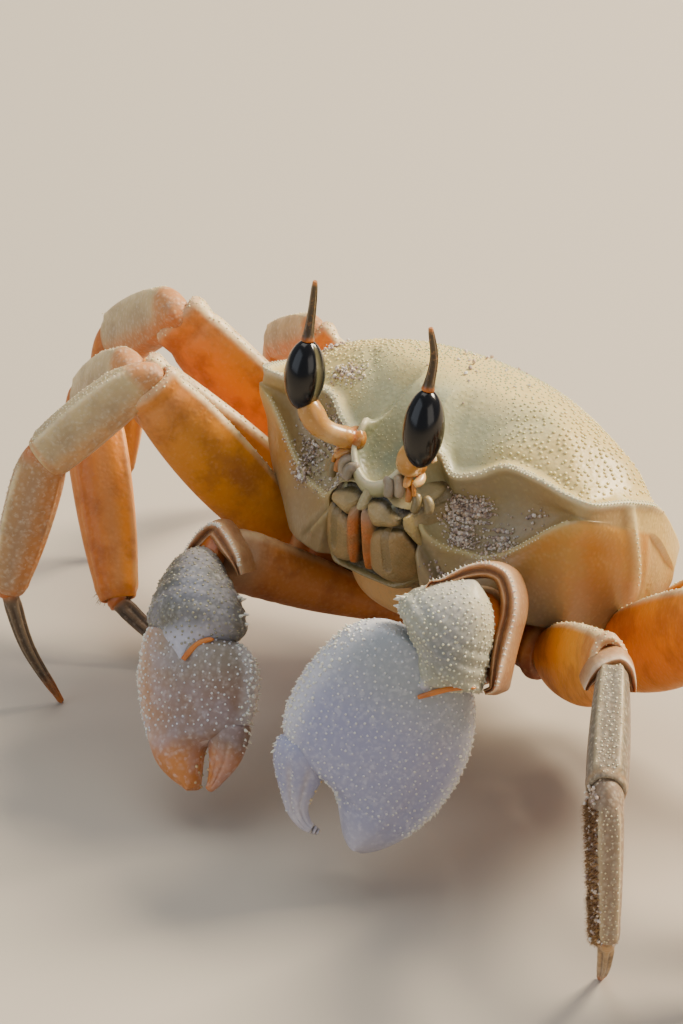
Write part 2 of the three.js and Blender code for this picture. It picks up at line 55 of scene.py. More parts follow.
# ------------------------------------------------------------------ frames
# The crab faces -Y, its left side is +X, the floor is z = 0. SHELL is the width between the teeth.
MM = 0.001
SHELL = 46 * MM
SHELL_LENGTH = 0.69
NOSE_UP = math.radians(18)
STANCE_HEIGHT = 0.85
BEAK_REACH = 0.26235
BACK_RISE = 0.165
BACK_PEAK_Y = 0.17
BACK_CENTRE_Y = 0.28
WALL_HEIGHT = 0.35
WALL_INSET = 0.87
BELLY_DEPTH = 0.47
ORBIT_DEPTH = 0.04
MOUTH_DEPTH = 0.05
FOOT_RADIUS = 0.45 * MM
CARAPACE_LOW, CARAPACE_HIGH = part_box("carapace")
BODY_X = (CARAPACE_LOW.x + CARAPACE_HIGH.x) / 2
BODY_Y = CARAPACE_LOW.y + BEAK_REACH * SHELL
SIDES = (("left", 1), ("right", -1))
UP = np.array([0.0, 0.0, 1.0])
SEED = 7


def standing(points):
    """Points in shell widths above the floor below the teeth, in metres."""
    return np.asarray(points, float) * SHELL + np.array([BODY_X, BODY_Y, 0])


def in_shell(points):
    """Points in shell widths from the middle of the line of the teeth, pitched with the body."""
    p = np.asarray(points, float) * SHELL
    c, s = math.cos(NOSE_UP), math.sin(NOSE_UP)
    turned = np.stack([p[..., 0], p[..., 1] * c + p[..., 2] * s, p[..., 2] * c - p[..., 1] * s], -1)
    return turned + standing([0, 0, STANCE_HEIGHT])


def rise(value, low, high):
    """0 below low, 1 above high, smooth between."""
    t = np.clip((np.asarray(value, float) - low) / (high - low), 0, 1)
    return t * t * (3 - 2 * t)


def hump(value, middle, reach):
    """1 at the middle, 0 from the reach away."""
    return 1 - rise(np.abs(np.asarray(value, float) - middle), 0, reach)


def bell(value, middle, width):
    """A smooth peak of height one at the middle, falling off over the width."""
    return np.exp(-(((np.asarray(value, float) - middle) / width) ** 2))


def lerp(a, b, t):
    """The value a share t of the way from a to b."""
    return a + (b - a) * t


def unit(v):
    """Vectors scaled to length one."""
    v = np.asarray(v, float)
    return v / np.maximum(np.linalg.norm(v, axis=-1, keepdims=True), 1e-12)


def through(points, count, closed=False):
    """A smooth curve through the points: count samples, evenly spaced from point to point."""
    p = np.asarray(points, float)
    ends = (p[-1], p[0], p[1]) if closed else (2 * p[0] - p[1], 2 * p[-1] - p[-2], 2 * p[-1] - p[-2])
    q = np.vstack([ends[0], p, ends[1:]])
    spans = len(p) if closed else len(p) - 1
    u = np.arange(count) * spans / count if closed else np.linspace(0, spans, count)
    i = np.minimum(u.astype(int), spans - 1)
    t = (u - i)[:, None]
    p0, p1, p2, p3 = (q[i + k] for k in range(4))
    gaps = [np.maximum(np.linalg.norm(b - a, axis=1, keepdims=True) ** 0.5, 1e-6)
            for a, b in ((p0, p1), (p1, p2), (p2, p3))]
    a, b, c = gaps
    m1 = ((p1 - p0) / a - (p2 - p0) / (a + b) + (p2 - p1) / b) * b
    m2 = ((p2 - p1) / b - (p3 - p1) / (b + c) + (p3 - p2) / c) * b
    return (p1 * (2 * t**3 - 3 * t**2 + 1) + m1 * (t**3 - 2 * t**2 + t)
            + p2 * (3 * t**2 - 2 * t**3) + m2 * (t**3 - t**2))


def rows_at(rows, s):
    """Each column of the rows after the first, read smoothly at the places s."""
    rows = np.asarray(rows, float)
    fine = through(rows, 12 * (len(rows) - 1) + 1)
    return [np.interp(s, fine[:, 0], fine[:, k]) for k in range(1, rows.shape[1])]


def near_line(points, line):
    """Distance of each point from a line of points, and how far along it the nearest place is."""
    line = np.asarray(line, float)
    best = np.full(len(points), 1e9)
    share = np.zeros(len(points))
    for k, (a, b) in enumerate(zip(line[:-1], line[1:])):
        ab = b - a
        t = np.clip(((points - a) @ ab) / max(ab @ ab, 1e-18), 0, 1)
        d = np.linalg.norm(points - a - t[:, None] * ab, axis=1)
        closer = d < best
        best[closer] = d[closer]
        share[closer] = (k + t[closer]) / (len(line) - 1)
    return best, share


def colour(code):
    """A colour written as six hex digits, as the linear values that shaders take."""
    srgb = np.array([int(code[i:i + 2], 16) / 255 for i in (0, 2, 4)])
    return np.where(srgb <= 0.04045, srgb / 12.92, ((srgb + 0.055) / 1.055) ** 2.4)


# ------------------------------------------------------------------ what a user may change
class CrabSizes(bpy.types.PropertyGroup):
    granule: FloatProperty(
        name="Back granule", description="Radius of the largest granules on the back",
        default=0.21 * MM, min=0.05 * MM, max=0.6 * MM, unit="LENGTH")
    granule_spacing: FloatProperty(
        name="Granule spacing", description="Distance between granules on the side of the back",
        default=0.6 * MM, min=0.3 * MM, max=2 * MM, unit="LENGTH")
    claw_granule: FloatProperty(
        name="Claw granule", description="Radius of the granules on the claws",
        default=0.15 * MM, min=0.05 * MM, max=0.6 * MM, unit="LENGTH")
    spine: FloatProperty(
        name="Spine length", description="Length of the small spines on the edges of the claws",
        default=0.6 * MM, min=0.1 * MM, max=2 * MM, unit="LENGTH")
    hair: FloatProperty(
        name="Hair length", description="Length of the bristles on the legs",
        default=1.15 * MM, min=0.2 * MM, max=4 * MM, unit="LENGTH")
    sand_grain: FloatProperty(
        name="Sand grain", description="Radius of the sand grains that stick to the shell",
        default=0.27 * MM, min=0.05 * MM, max=1 * MM, unit="LENGTH")
    smoothness: IntProperty(
        name="Smoothness", description="Subdivision levels of the leg and claw pieces",
        default=3, min=1, max=4)


def tint(name, code, description):
    """A colour setting with its default given as a hex code."""
    return FloatVectorProperty(name=name, description=description, subtype="COLOR",
                               size=3, min=0, max=1, default=tuple(colour(code)))


class CrabColours(bpy.types.PropertyGroup):
    back: tint("Back", "E4CB84", "Cream yellow of the back")
    brow: tint("Brow", "A6AA88", "Grey green between and behind the eyes")
    wall: tint("Side wall", "B57C30", "Ochre of the side of the shell")
    leg: tint("Leg", "DC8C1A", "Orange of the legs")
    pale: tint("Pale edge", "E6D2A2", "Cream of ridges and upper edges")
    tip: tint("Leg tip", "62513F", "Grey brown of the last leg pieces")
    floor: tint("Floor", "BBB2A4", "Pale ground of the stage")


def sizes():
    """The crab's size settings in this scene."""
    return bpy.context.scene.crab_sizes


def tints():
    """The crab's colour settings in this scene."""
    return bpy.context.scene.crab_colours


# ------------------------------------------------------------------ meshes
def deselect():
    """Leaves nothing selected."""
    for o in bpy.context.selected_objects:
        o.select_set(False)


def activate(obj):
    """Makes this the one selected and active object."""
    deselect()
    obj.select_set(True)
    bpy.context.view_layer.objects.active = obj


def coordinates(obj):
    """The places of a mesh's vertices, as an array."""
    co = np.empty(len(obj.data.vertices) * 3)
    obj.data.vertices.foreach_get("co", co)
    return co.reshape(-1, 3)


def normals(obj):
    """The outward ways of a mesh's vertices, as an array."""
    out = np.empty(len(obj.data.vertices) * 3, np.float32)
    obj.data.vertex_normals.foreach_get("vector", out)
    return out.reshape(-1, 3).astype(float)


def move_to(obj, co):
    """Moves a mesh's vertices to new places."""
    obj.data.vertices.foreach_set("co", np.ascontiguousarray(co, float).ravel())
    obj.data.update()


def new_object(name, co, faces):
    """A mesh object from vertices and faces."""
    mesh = bpy.data.meshes.new(name)
    mesh.from_pydata([tuple(c) for c in co], [], faces)
    mesh.update()
    obj = bpy.data.objects.new(name, mesh)
    bpy.context.scene.collection.objects.link(obj)
    return obj


def paint(obj, values, name="tint"):
    """Keeps a colour for every vertex, which the materials read by name."""
    values = np.asarray(values, float)
    layer = obj.data.color_attributes.new(name, "FLOAT_COLOR", "POINT")
    layer.data.foreach_set("color", np.hstack([values, np.ones((len(values), 1))]).ravel())


def paint_over(obj, shade):
    """Gives every vertex of a painted piece the same colour."""
    values = np.tile(np.append(shade, 1.0), (len(obj.data.vertices), 1))
    obj.data.color_attributes["tint"].data.foreach_set("color", values.ravel())


def blended(count, base, *layers):
    """A base colour with (colour, mask) layers laid over it, for every vertex."""
    out = np.tile(np.asarray(base, float), (count, 1))
    for shade, mask in layers:
        m = np.clip(np.broadcast_to(mask, count), 0, 1)[:, None]
        out = out * (1 - m) + np.asarray(shade, float) * m
    return out


def blended_over(values, shade, mask):
    """Colours for every vertex with one more colour, or one for each vertex, laid over by the mask."""
    m = np.clip(mask, 0, 1)[:, None]
    return values * (1 - m) + np.asarray(shade, float) * m


def finish(obj, name, material, slot, *nodes, crease=None):
    """Names a piece, shades it, gives it its finish and sets it on the frame."""
    obj.name = obj.data.name = name
    obj.data.materials.clear()
    obj.data.materials.append(material)
    activate(obj)
    if crease is None:
        bpy.ops.object.shade_smooth()
    else:
        bpy.ops.object.shade_smooth_by_angle(angle=math.radians(crease))
    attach(obj, "root")
    if nodes:
        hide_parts(*nodes)
    return obj


def subdivide(obj, levels):
    """Smooths a piece by this many levels and applies them."""
    activate(obj)
    modifier = obj.modifiers.new("Subdivision", "SUBSURF")
    modifier.levels = modifier.render_levels = levels
    bpy.ops.object.modifier_apply(modifier=modifier.name)


# Steps of a socket's sunken end: an inset as a share of the least half width, and a share of the depth.
SOCKET_STEPS = ((0.2, -0.3), (0.2, -0.7))


def pulled_limb(rows, length, sides=12, socket=0.0, levels=None):
    """A straight limb piece on the world axes, pulled ring by ring out of a circle: +Z along it, +Y
    its upper side. A row is a place from 0 to 1, the reach above and below and the half thickness,
    in metres. A socket sinks the far end by that depth."""
    swell = 6 / (4 + 2 * math.cos(2 * math.pi / sides))
    rows = [(s, a * swell, b * swell, t * swell) for s, a, b, t in rows]
    deselect()
    bpy.ops.mesh.primitive_circle_add(vertices=sides, radius=1, fill_type="NGON", location=(0, 0, 0))
    obj = bpy.context.object
    bpy.ops.object.mode_set(mode="EDIT")
    s, above, below, thick = rows[0]
    bpy.ops.transform.resize(value=(thick, (above + below) / 2, 1), center_override=(0, 0, 0))
    bpy.ops.transform.translate(value=(0, (above - below) / 2, s * length))
    for (s0, a0, b0, t0), (s1, a1, b1, t1) in zip(rows, rows[1:]):
        middle = (a1 - b1) / 2
        step = (0, middle - (a0 - b0) / 2, (s1 - s0) * length)
        bpy.ops.mesh.extrude_region_move(TRANSFORM_OT_translate={"value": step})
        bpy.ops.transform.resize(value=(t1 / t0, (a1 + b1) / (a0 + b0), 1),
                                 center_override=(0, middle, s1 * length))
    s, above, below, thick = rows[-1]
    narrow = min(thick, above, below)
    bpy.ops.mesh.inset(thickness=0.2 * narrow)
    if socket:
        for inset, push in SOCKET_STEPS:
            bpy.ops.mesh.extrude_region_move(TRANSFORM_OT_translate={"value": (0, 0, push * socket)})
            bpy.ops.mesh.inset(thickness=inset * narrow)
    bpy.ops.mesh.select_all(action="SELECT")
    bpy.ops.mesh.normals_make_consistent(inside=False)
    bpy.ops.object.mode_set(mode="OBJECT")
    subdivide(obj, sizes().smoothness if levels is None else levels)
    return obj


def laid(obj, points, broad, length):
    """Lays a straight limb piece along a curve: its +Z follows the points, its +Y leans to broad."""
    line = np.asarray(points, float)
    line = through(line, 60) if len(line) > 2 else np.linspace(line[0], line[1], 3)
    steps = np.linalg.norm(np.diff(line, axis=0), axis=1)
    travelled = np.concatenate([[0], np.cumsum(steps)]) / steps.sum()
    ahead = unit(np.gradient(line, axis=0))
    co = coordinates(obj)
    s = co[:, 2] / length
    at = np.clip(s, 0, 1)
    centre = np.stack([np.interp(at, travelled, line[:, k]) for k in range(3)], -1)
    ahead = unit(np.stack([np.interp(at, travelled, ahead[:, k]) for k in range(3)], -1))
    centre += ahead * ((s - at) * length)[:, None]
    high = unit(np.asarray(broad, float) - ahead * (ahead @ np.asarray(broad, float))[:, None])
    across = np.cross(high, ahead)
    move_to(obj, centre + high * co[:, 1:2] + across * co[:, 0:1])
    return obj


def stamped(name, template, places, outward, size, turn=None):
    """One mesh of many copies of a small template whose +Z turns to each outward direction."""
    shape, faces = template
    out = unit(outward)
    helper = np.where(np.abs(out[:, 2:3]) < 0.9, [[0, 0, 1.0]], [[1.0, 0, 0]])
    a = unit(np.cross(helper, out))
    b = np.cross(out, a)
    if turn is not None:
        c, s = np.cos(turn)[:, None], np.sin(turn)[:, None]
        a, b = a * c + b * s, b * c - a * s
    size = np.asarray(size, float)
    size = size[:, None] * np.ones(3) if size.ndim == 1 else size
    local = shape[None] * size[:, None, :]
    co = (places[:, None] + local[..., 0:1] * a[:, None] + local[..., 1:2] * b[:, None]
          + local[..., 2:3] * out[:, None])
    count = len(shape)
    joined = [tuple(i + k * count for i in face) for k in range(len(places)) for face in faces]
    return new_object(name, co.reshape(-1, 3), joined)


def template_of(obj):
    """The vertices and faces of a small shape, which is then removed."""
    co = coordinates(obj)
    faces = [tuple(p.vertices) for p in obj.data.polygons]
    bpy.data.objects.remove(obj)
    return co, faces


def dome_template():
    """A low round dome with a flat underside just below the surface."""
    deselect()
    bpy.ops.mesh.primitive_uv_sphere_add(segments=7, ring_count=5, radius=1, location=(0, 0, 0))
    obj = bpy.context.object
    bpy.ops.object.mode_set(mode="EDIT")
    bpy.ops.mesh.select_all(action="SELECT")
    bpy.ops.mesh.bisect(plane_co=(0, 0, -0.25), plane_no=(0, 0, 1), clear_inner=True, use_fill=True)
    bpy.ops.object.mode_set(mode="OBJECT")
    return template_of(obj)


def spine_template():
    """A short curved spine with a broad foot."""
    deselect()
    bpy.ops.mesh.primitive_cone_add(vertices=7, radius1=0.42, radius2=0.3, depth=0.5, location=(0, 0, 0))
    obj = bpy.context.object
    bpy.ops.object.mode_set(mode="EDIT")
    bpy.ops.mesh.select_all(action="DESELECT")
    bpy.ops.object.mode_set(mode="OBJECT")
    for face in obj.data.polygons:
        face.select = face.normal.z > 0.9
    bpy.ops.object.mode_set(mode="EDIT")
    bpy.ops.mesh.extrude_region_move(TRANSFORM_OT_translate={"value": (0.05, 0, 0.35)})
    bpy.ops.transform.resize(value=(0.6, 0.6, 1))
    bpy.ops.mesh.extrude_region_move(TRANSFORM_OT_translate={"value": (0.1, 0, 0.3)})
    bpy.ops.transform.resize(value=(0.3, 0.3, 1))
    bpy.ops.object.mode_set(mode="OBJECT")
    return template_of(obj)


# Middles of the flat broken facets of a grain of sand, in radii.
GRAIN_FACETS = ((0.55, 0.3, 0.35), (-0.5, 0.45, -0.3), (-0.1, -0.68, 0.25), (0.15, 0.1, -0.7))


def grain_template():
    """An angular grain of sand."""
    deselect()
    bpy.ops.mesh.primitive_ico_sphere_add(subdivisions=1, radius=1, location=(0, 0, 0))
    obj = bpy.context.object
    bpy.ops.object.mode_set(mode="EDIT")
    for facet in GRAIN_FACETS:
        bpy.ops.mesh.select_all(action="SELECT")
        bpy.ops.mesh.bisect(plane_co=facet, plane_no=facet, clear_outer=True, use_fill=True)
    bpy.ops.object.mode_set(mode="OBJECT")
    return template_of(obj)


def hair_template():
    """A thin bent bristle."""
    deselect()
    bpy.ops.mesh.primitive_cone_add(vertices=3, radius1=0.05, radius2=0.035, depth=0.4, location=(0, 0, 0.2))
    obj = bpy.context.object
    for face in obj.data.polygons:
        face.select = face.normal.z > 0.9
    bpy.ops.object.mode_set(mode="EDIT")
    bpy.ops.mesh.select_mode(type="FACE")
    bpy.ops.mesh.extrude_region_move(TRANSFORM_OT_translate={"value": (0.06, 0, 0.35)})
    bpy.ops.transform.resize(value=(0.7, 0.7, 1))
    bpy.ops.mesh.extrude_region_move(TRANSFORM_OT_translate={"value": (0.12, 0, 0.25)})
    bpy.ops.transform.resize(value=(0.25, 0.25, 1))
    bpy.ops.object.mode_set(mode="OBJECT")
    return template_of(obj)


TEMPLATES = {}


def small(name):
    """The small shape of that name, modelled the first time that a piece asks for it."""
    if name not in TEMPLATES:
        makers = {"dome": dome_template, "spine": spine_template,
                  "grain": grain_template, "hair": hair_template}
        TEMPLATES[name] = makers[name]()
    return TEMPLATES[name]


def spread(co, keep, spacing, rng):
    """Indices of points that keep at least the spacing from each other, taken in random order."""
    order = rng.permutation(np.flatnonzero(rng.random(len(co)) < keep))
    spacing = np.broadcast_to(spacing, len(co))
    cell = float(spacing[order].max()) if len(order) else 1.0
    keys = np.floor(co / cell).astype(int)
    grid, chosen = {}, []
    around = [(i, j, k) for i in (-1, 0, 1) for j in (-1, 0, 1) for k in (-1, 0, 1)]
    for i in order:
        x, y, z = keys[i]
        p, gap = co[i], spacing[i] ** 2
        if all(((co[j] - p) ** 2).sum() >= gap
               for a, b, c in around for j in grid.get((x + a, y + b, z + c), ())):
            grid.setdefault((x, y, z), []).append(i)
            chosen.append(i)
    return np.array(chosen, int)


# ------------------------------------------------------------------ shader groups and materials
class Nodes:
    """A node tree with short ways to add and link nodes."""

    def __init__(self, tree):
        self.tree = tree

    def add(self, kind, inputs=None, **settings):
        node = self.tree.nodes.new(kind)
        for key, value in settings.items():
            setattr(node, key, value)
        for key, value in (inputs or {}).items():
            if isinstance(value, bpy.types.NodeSocket):
                self.tree.links.new(value, node.inputs[key])
            else:
                node.inputs[key].default_value = value
        return node

    def mix(self, a, b, factor, blend="MIX"):
        node = self.add("ShaderNodeMix", data_type="RGBA", blend_type=blend)
        for socket, value in ((node.inputs[0], factor), (node.inputs[6], a), (node.inputs[7], b)):
            if isinstance(value, bpy.types.NodeSocket):
                self.tree.links.new(value, socket)
            else:
                socket.default_value = value
        return node.outputs[2]

    def maths(self, operation, a, b=0.0, clamp=False):
        node = self.add("ShaderNodeMath", operation=operation, use_clamp=clamp)
        for socket, value in zip(node.inputs, (a, b)):
            if isinstance(value, bpy.types.NodeSocket):
                self.tree.links.new(value, socket)
            else:
                socket.default_value = value
        return node.outputs[0]

    def ramp(self, value, low, high):
        """0 where the value is under low, 1 over high."""
        node = self.add("ShaderNodeMapRange", {"Value": value, "From Min": low, "From Max": high},
                        interpolation_type="SMOOTHSTEP")
        return node.outputs["Result"]


def group(name, inputs, outputs, build):
    """A shader node group with named inputs and outputs, built once."""
    if name in bpy.data.node_groups:
        return bpy.data.node_groups[name]
    tree = bpy.data.node_groups.new(name, "ShaderNodeTree")
    for label, kind, default in inputs:
        socket = tree.interface.new_socket(name=label, in_out="INPUT", socket_type="NodeSocket" + kind)
        if default is not None:
            socket.default_value = default
    for label, kind in outputs:
        tree.interface.new_socket(name=label, in_out="OUTPUT", socket_type="NodeSocket" + kind)
    nodes = Nodes(tree)
    source = nodes.add("NodeGroupInput")
    target = nodes.add("NodeGroupOutput")
    for label, socket in build(nodes, source.outputs).items():
        tree.links.new(socket, target.inputs[label])
    return tree


def mottling_group():
    """Cloudy patches and fine specks laid over a colour."""
    def build(nodes, given):
        place = nodes.add("ShaderNodeTexCoord").outputs["Object"]
        cloud = nodes.add("ShaderNodeTexNoise", {"Vector": place, "Scale": given["Cloud Scale"],
                                                 "Detail": 4.0, "Roughness": 0.6})
        speck = nodes.add("ShaderNodeTexNoise", {"Vector": place, "Scale": given["Speck Scale"],
                                                 "Detail": 2.0, "Roughness": 0.5})
        clouds = nodes.maths("MULTIPLY", nodes.ramp(cloud.outputs["Fac"], 0.44, 0.66), given["Cloud Amount"])
        specks = nodes.maths("MULTIPLY", nodes.ramp(speck.outputs["Fac"], 0.56, 0.68), given["Speck Amount"])
        shaded = nodes.mix(given["Colour"], given["Cloud Colour"], clouds)
        shaded = nodes.mix(shaded, given["Speck Colour"], specks)
        return {"Colour": shaded, "Patches": cloud.outputs["Fac"]}
    white = (1, 1, 1, 1)
    return group("Mottling", [
        ("Colour", "Color", white), ("Cloud Colour", "Color", white), ("Cloud Amount", "Float", 0.5),
        ("Cloud Scale", "Float", 200.0), ("Speck Colour", "Color", white), ("Speck Amount", "Float", 0.5),
        ("Speck Scale", "Float", 2000.0)], [("Colour", "Color"), ("Patches", "Float")], build)


def grain_group():
    """Height of fine pimples with pits between them, and a mask of the pimples."""
    def build(nodes, given):
        place = nodes.add("ShaderNodeTexCoord").outputs["Object"]
        bent = nodes.add("ShaderNodeTexNoise", {"Vector": place, "Scale": 400.0, "Detail": 1.0})
        shifted = nodes.add("ShaderNodeVectorMath", {0: bent.outputs["Color"], "Scale": 0.0006},
                            operation="SCALE")
        moved = nodes.add("ShaderNodeVectorMath", {0: place, 1: shifted.outputs[0]}, operation="ADD")
        cells = nodes.add("ShaderNodeTexVoronoi", {"Vector": moved.outputs[0], "Scale": given["Scale"]},
                          feature="SMOOTH_F1")
        cells.inputs["Smoothness"].default_value = 0.35
        dome = nodes.ramp(nodes.maths("SUBTRACT", 1.0, cells.outputs["Distance"]), 0.35, 1.0)
        fine = nodes.add("ShaderNodeTexNoise", {"Vector": place, "Scale": given["Fine Scale"], "Detail": 3.0})
        rough = nodes.maths("MULTIPLY", fine.outputs["Fac"], given["Fine Amount"])
        height = nodes.maths("ADD", nodes.maths("MULTIPLY", dome, given["Amount"]), rough)
        return {"Height": height, "Pimples": dome}
    return group("Fine grain", [
        ("Scale", "Float", 1500.0), ("Amount", "Float", 1.0), ("Fine Scale", "Float", 4000.0),
        ("Fine Amount", "Float", 0.4)], [("Height", "Float"), ("Pimples", "Float")], build)


def shell_material(name, clouds, specks, cloud_amount=0.35, speck_amount=0.25, cloud_scale=170.0,
                   speck_scale=2400.0, grain_scale=1700.0, bump=0.25, bump_depth=0.00012,
                   roughness=(0.38, 0.6), translucency=0.12, coat=0.0, pimples="FFFFFF", pimple_amount=0.0,
                   subsurface=(1.0, 0.45, 0.2), specular=0.5):
    """A crab's shell: the painted colour with clouds, specks and fine grain, slightly translucent."""
    material = bpy.data.materials.new(name)
    material.use_nodes = True
    nodes = Nodes(material.node_tree)
    shader = material.node_tree.nodes["Principled BSDF"]
    painted = nodes.add("ShaderNodeAttribute", attribute_name="tint").outputs["Color"]
    mottled = nodes.add("ShaderNodeGroup", node_tree=mottling_group(), inputs={})
    mottled.inputs["Cloud Colour"].default_value = (*colour(clouds), 1)
    mottled.inputs["Speck Colour"].default_value = (*colour(specks), 1)
    for label, value in (("Cloud Amount", cloud_amount), ("Cloud Scale", cloud_scale),
                         ("Speck Amount", speck_amount), ("Speck Scale", speck_scale)):
        mottled.inputs[label].default_value = value
    nodes.tree.links.new(painted, mottled.inputs["Colour"])
    grain = nodes.add("ShaderNodeGroup", node_tree=grain_group())
    grain.inputs["Scale"].default_value = grain_scale
    lightened = nodes.mix(mottled.outputs["Colour"], (*colour(pimples), 1),
                          nodes.maths("MULTIPLY", grain.outputs["Pimples"], pimple_amount))
    bumped = nodes.add("ShaderNodeBump", {"Height": grain.outputs["Height"], "Strength": bump,
                                          "Distance": bump_depth})
    rough = nodes.add("ShaderNodeMapRange", {"Value": mottled.outputs["Patches"], "From Min": 0.3,
                                             "From Max": 0.7, "To Min": roughness[0], "To Max": roughness[1]})
    links = nodes.tree.links
    links.new(lightened, shader.inputs["Base Color"])
    links.new(bumped.outputs["Normal"], shader.inputs["Normal"])
    links.new(rough.outputs["Result"], shader.inputs["Roughness"])
    shader.inputs["Subsurface Weight"].default_value = translucency
    shader.inputs["Subsurface Radius"].default_value = subsurface
    shader.inputs["Subsurface Scale"].default_value = 0.0012
    shader.inputs["Specular IOR Level"].default_value = specular
    shader.inputs["Coat Weight"].default_value = coat
    shader.inputs["Coat Roughness"].default_value = 0.25
    return material


MATERIALS = {}


def material(name):
    """Each finish, made the first time that a piece asks for it."""
    if name not in MATERIALS:
        MATERIALS[name] = FINISHES[name](name)
    return MATERIALS[name]


FINISHES = {
    "shell": lambda n: shell_material(n, "A8924E", "7E7445", 0.3, 0.12, roughness=(0.34, 0.52), coat=0.12,
                                      pimples="E9D9A6", pimple_amount=0.05),
    "granule": lambda n: shell_material(n, "E6D6A8", "FFFFFF", 0.2, 0.05, roughness=(0.2, 0.34), bump=0.05,
                                        coat=0.3, translucency=0.2),
    "belly": lambda n: shell_material(n, "C9A878", "9C8A64", 0.35, 0.2, roughness=(0.42, 0.62)),
    "mouth": lambda n: shell_material(n, "6E6238", "C9BD93", 0.4, 0.08, cloud_scale=420.0, speck_scale=3000.0,
                                      grain_scale=2600.0, roughness=(0.3, 0.5), coat=0.15),
    "leg": lambda n: shell_material(n, "7E3E12", "E8C48A", 0.45, 0.06, cloud_scale=230.0,
                                    roughness=(0.36, 0.56),
                                    translucency=0.25, pimples="EFC98A", pimple_amount=0.06),
    "pale leg": lambda n: shell_material(n, "8A745A", "E9DCC4", 0.4, 0.2, cloud_scale=300.0,
                                         roughness=(0.42, 0.62), translucency=0.2, pimples="EFE2C8",
                                         pimple_amount=0.16, bump=0.4),
    "leg tip": lambda n: shell_material(n, "41362C", "A9947A", 0.45, 0.25, cloud_scale=500.0,
                                        roughness=(0.35, 0.55), translucency=0.06),
    "claw": lambda n: shell_material(n, "A2A1B4", "F2F0F0", 0.35, 0.15, cloud_scale=140.0, speck_scale=1500.0,
                                     roughness=(0.4, 0.55), translucency=0.2, pimples="EFEDEA",
                                     pimple_amount=0.12, bump=0.3, subsurface=(1.0, 0.7, 0.6)),
    "membrane": lambda n: shell_material(n, "9A5218", "E0A050", 0.5, 0.12, cloud_scale=600.0,
                                         roughness=(0.3, 0.45), translucency=0.3, bump=0.15, coat=0.2),
    "stalk": lambda n: shell_material(n, "C08A48", "E8C890", 0.4, 0.2, cloud_scale=500.0,
                                      roughness=(0.24, 0.36),
                                      translucency=0.4, bump=0.05, coat=0.4),
    "horn": lambda n: shell_material(n, "3E2A14", "A9713A", 0.5, 0.35, cloud_scale=700.0,
                                     roughness=(0.28, 0.45),
                                     translucency=0.05, bump=0.3, coat=0.2),
    "eye": lambda n: shell_material(n, "030303", "1C140E", 0.1, 0.1, cloud_scale=400.0, roughness=(0.13, 0.2),
                                    translucency=0.0, bump=0.02, coat=0.1, specular=0.4, grain_scale=9000.0),
    "hair": lambda n: shell_material(n, "5B3A1C", "C29A5E", 0.5, 0.3, roughness=(0.5, 0.7), bump=0.0,
                                     translucency=0.0),
    "sand": lambda n: shell_material(n, "7E6A5A", "F4EFE6", 0.35, 0.4, cloud_scale=900.0,
                                     roughness=(0.45, 0.8),
                                     bump=0.5, translucency=0.1),
}


# ------------------------------------------------------------------ carapace
# The left half of the rim, from the tip of the beak round to the middle of the back edge.
LEFT_RIM = [
    (0, -0.185, -0.115),
    (0.045, -0.182, -0.095),
    (0.076, -0.172, -0.05),
    (0.082, -0.145, 0.002),
    (0.112, -0.095, -0.01),
    (0.15, -0.08, -0.052),
    (0.205, -0.065, -0.036),
    (0.27, -0.045, 0.004),
    (0.36, -0.03, 0.002),
    (0.44, -0.025, -0.008),
    (0.505, -0.015, -0.01),
    (0.525, 0.1, -0.008),
    (0.525, 0.23, -0.03),
    (0.49, 0.37, -0.11),
    (0.42, 0.51, -0.19),
    (0.29, 0.63, -0.24),
    (0, SHELL_LENGTH, -0.25),
]
SHELL_COLUMNS = 384
BACK_RINGS = 46
LIP_STEPS = 5
WALL_RINGS = 30
# Lines in the shell's own frame, for the left side.
SIDE_RIDGE = [(0.503, 0.1, 0), (0.527, 0.12, -0.036), (0.535, 0.165, -0.122), (0.52, 0.24, -0.258),
              (0.5, 0.27, -0.33)]
BROW_GROOVE = [(0.165, -0.03, -0.01), (0.157, -0.02, 0.006), (0.158, -0.008, 0.03), (0.178, 0.006, 0.055),
               (0.214, 0.03, 0.085), (0.262, 0.063, 0.112)]
NECK_GROOVE = [(0.262, 0.063, 0.112), (0.3, 0.16, 0.12), (0.24, 0.27, 0.135), (0.14, 0.3, 0.15),
               (0.1, 0.38, 0.13), (0.12, 0.47, 0.08)]
MOUTH_FOLD = [(0.1, -0.175, -0.17), (0.115, -0.15, -0.225), (0.15, -0.14, -0.255), (0.19, -0.115, -0.3)]
CHEEK_FOLD = [(0.13, -0.14, -0.2), (0.17, -0.12, -0.25), (0.23, -0.1, -0.33)]


def rim_points(count):
    """This many points round the shell's rim."""
    right = [(-x, y, z) for x, y, z in reversed(LEFT_RIM[1:-1])]
    return through(LEFT_RIM + right, count, closed=True)


def frontness(rim):
    """How much each rim point belongs to the front: 1 ahead and 0 behind."""
    return 1 - rise(rim[:, 1], -0.02, 0.16)


def orbit_opening(rim):
    """How far each rim point lies in an eye hollow."""
    x = np.abs(rim[:, 0])
    return frontness(rim) * rise(x, 0.06, 0.13) * (1 - rise(x, 0.4, 0.5))


def back_height(x, y):
    """Height of the back at a place, in shell widths."""
    ahead = np.maximum(0, BACK_PEAK_Y - y)
    behind = np.maximum(0, y - BACK_PEAK_Y)
    shoulder = 0.62 * np.exp(5 * np.maximum(0, y - 0.2))
    return BACK_RISE - 1.45 * ahead**2 - 0.72 * behind**1.5 - shoulder * np.abs(x) ** 2.2


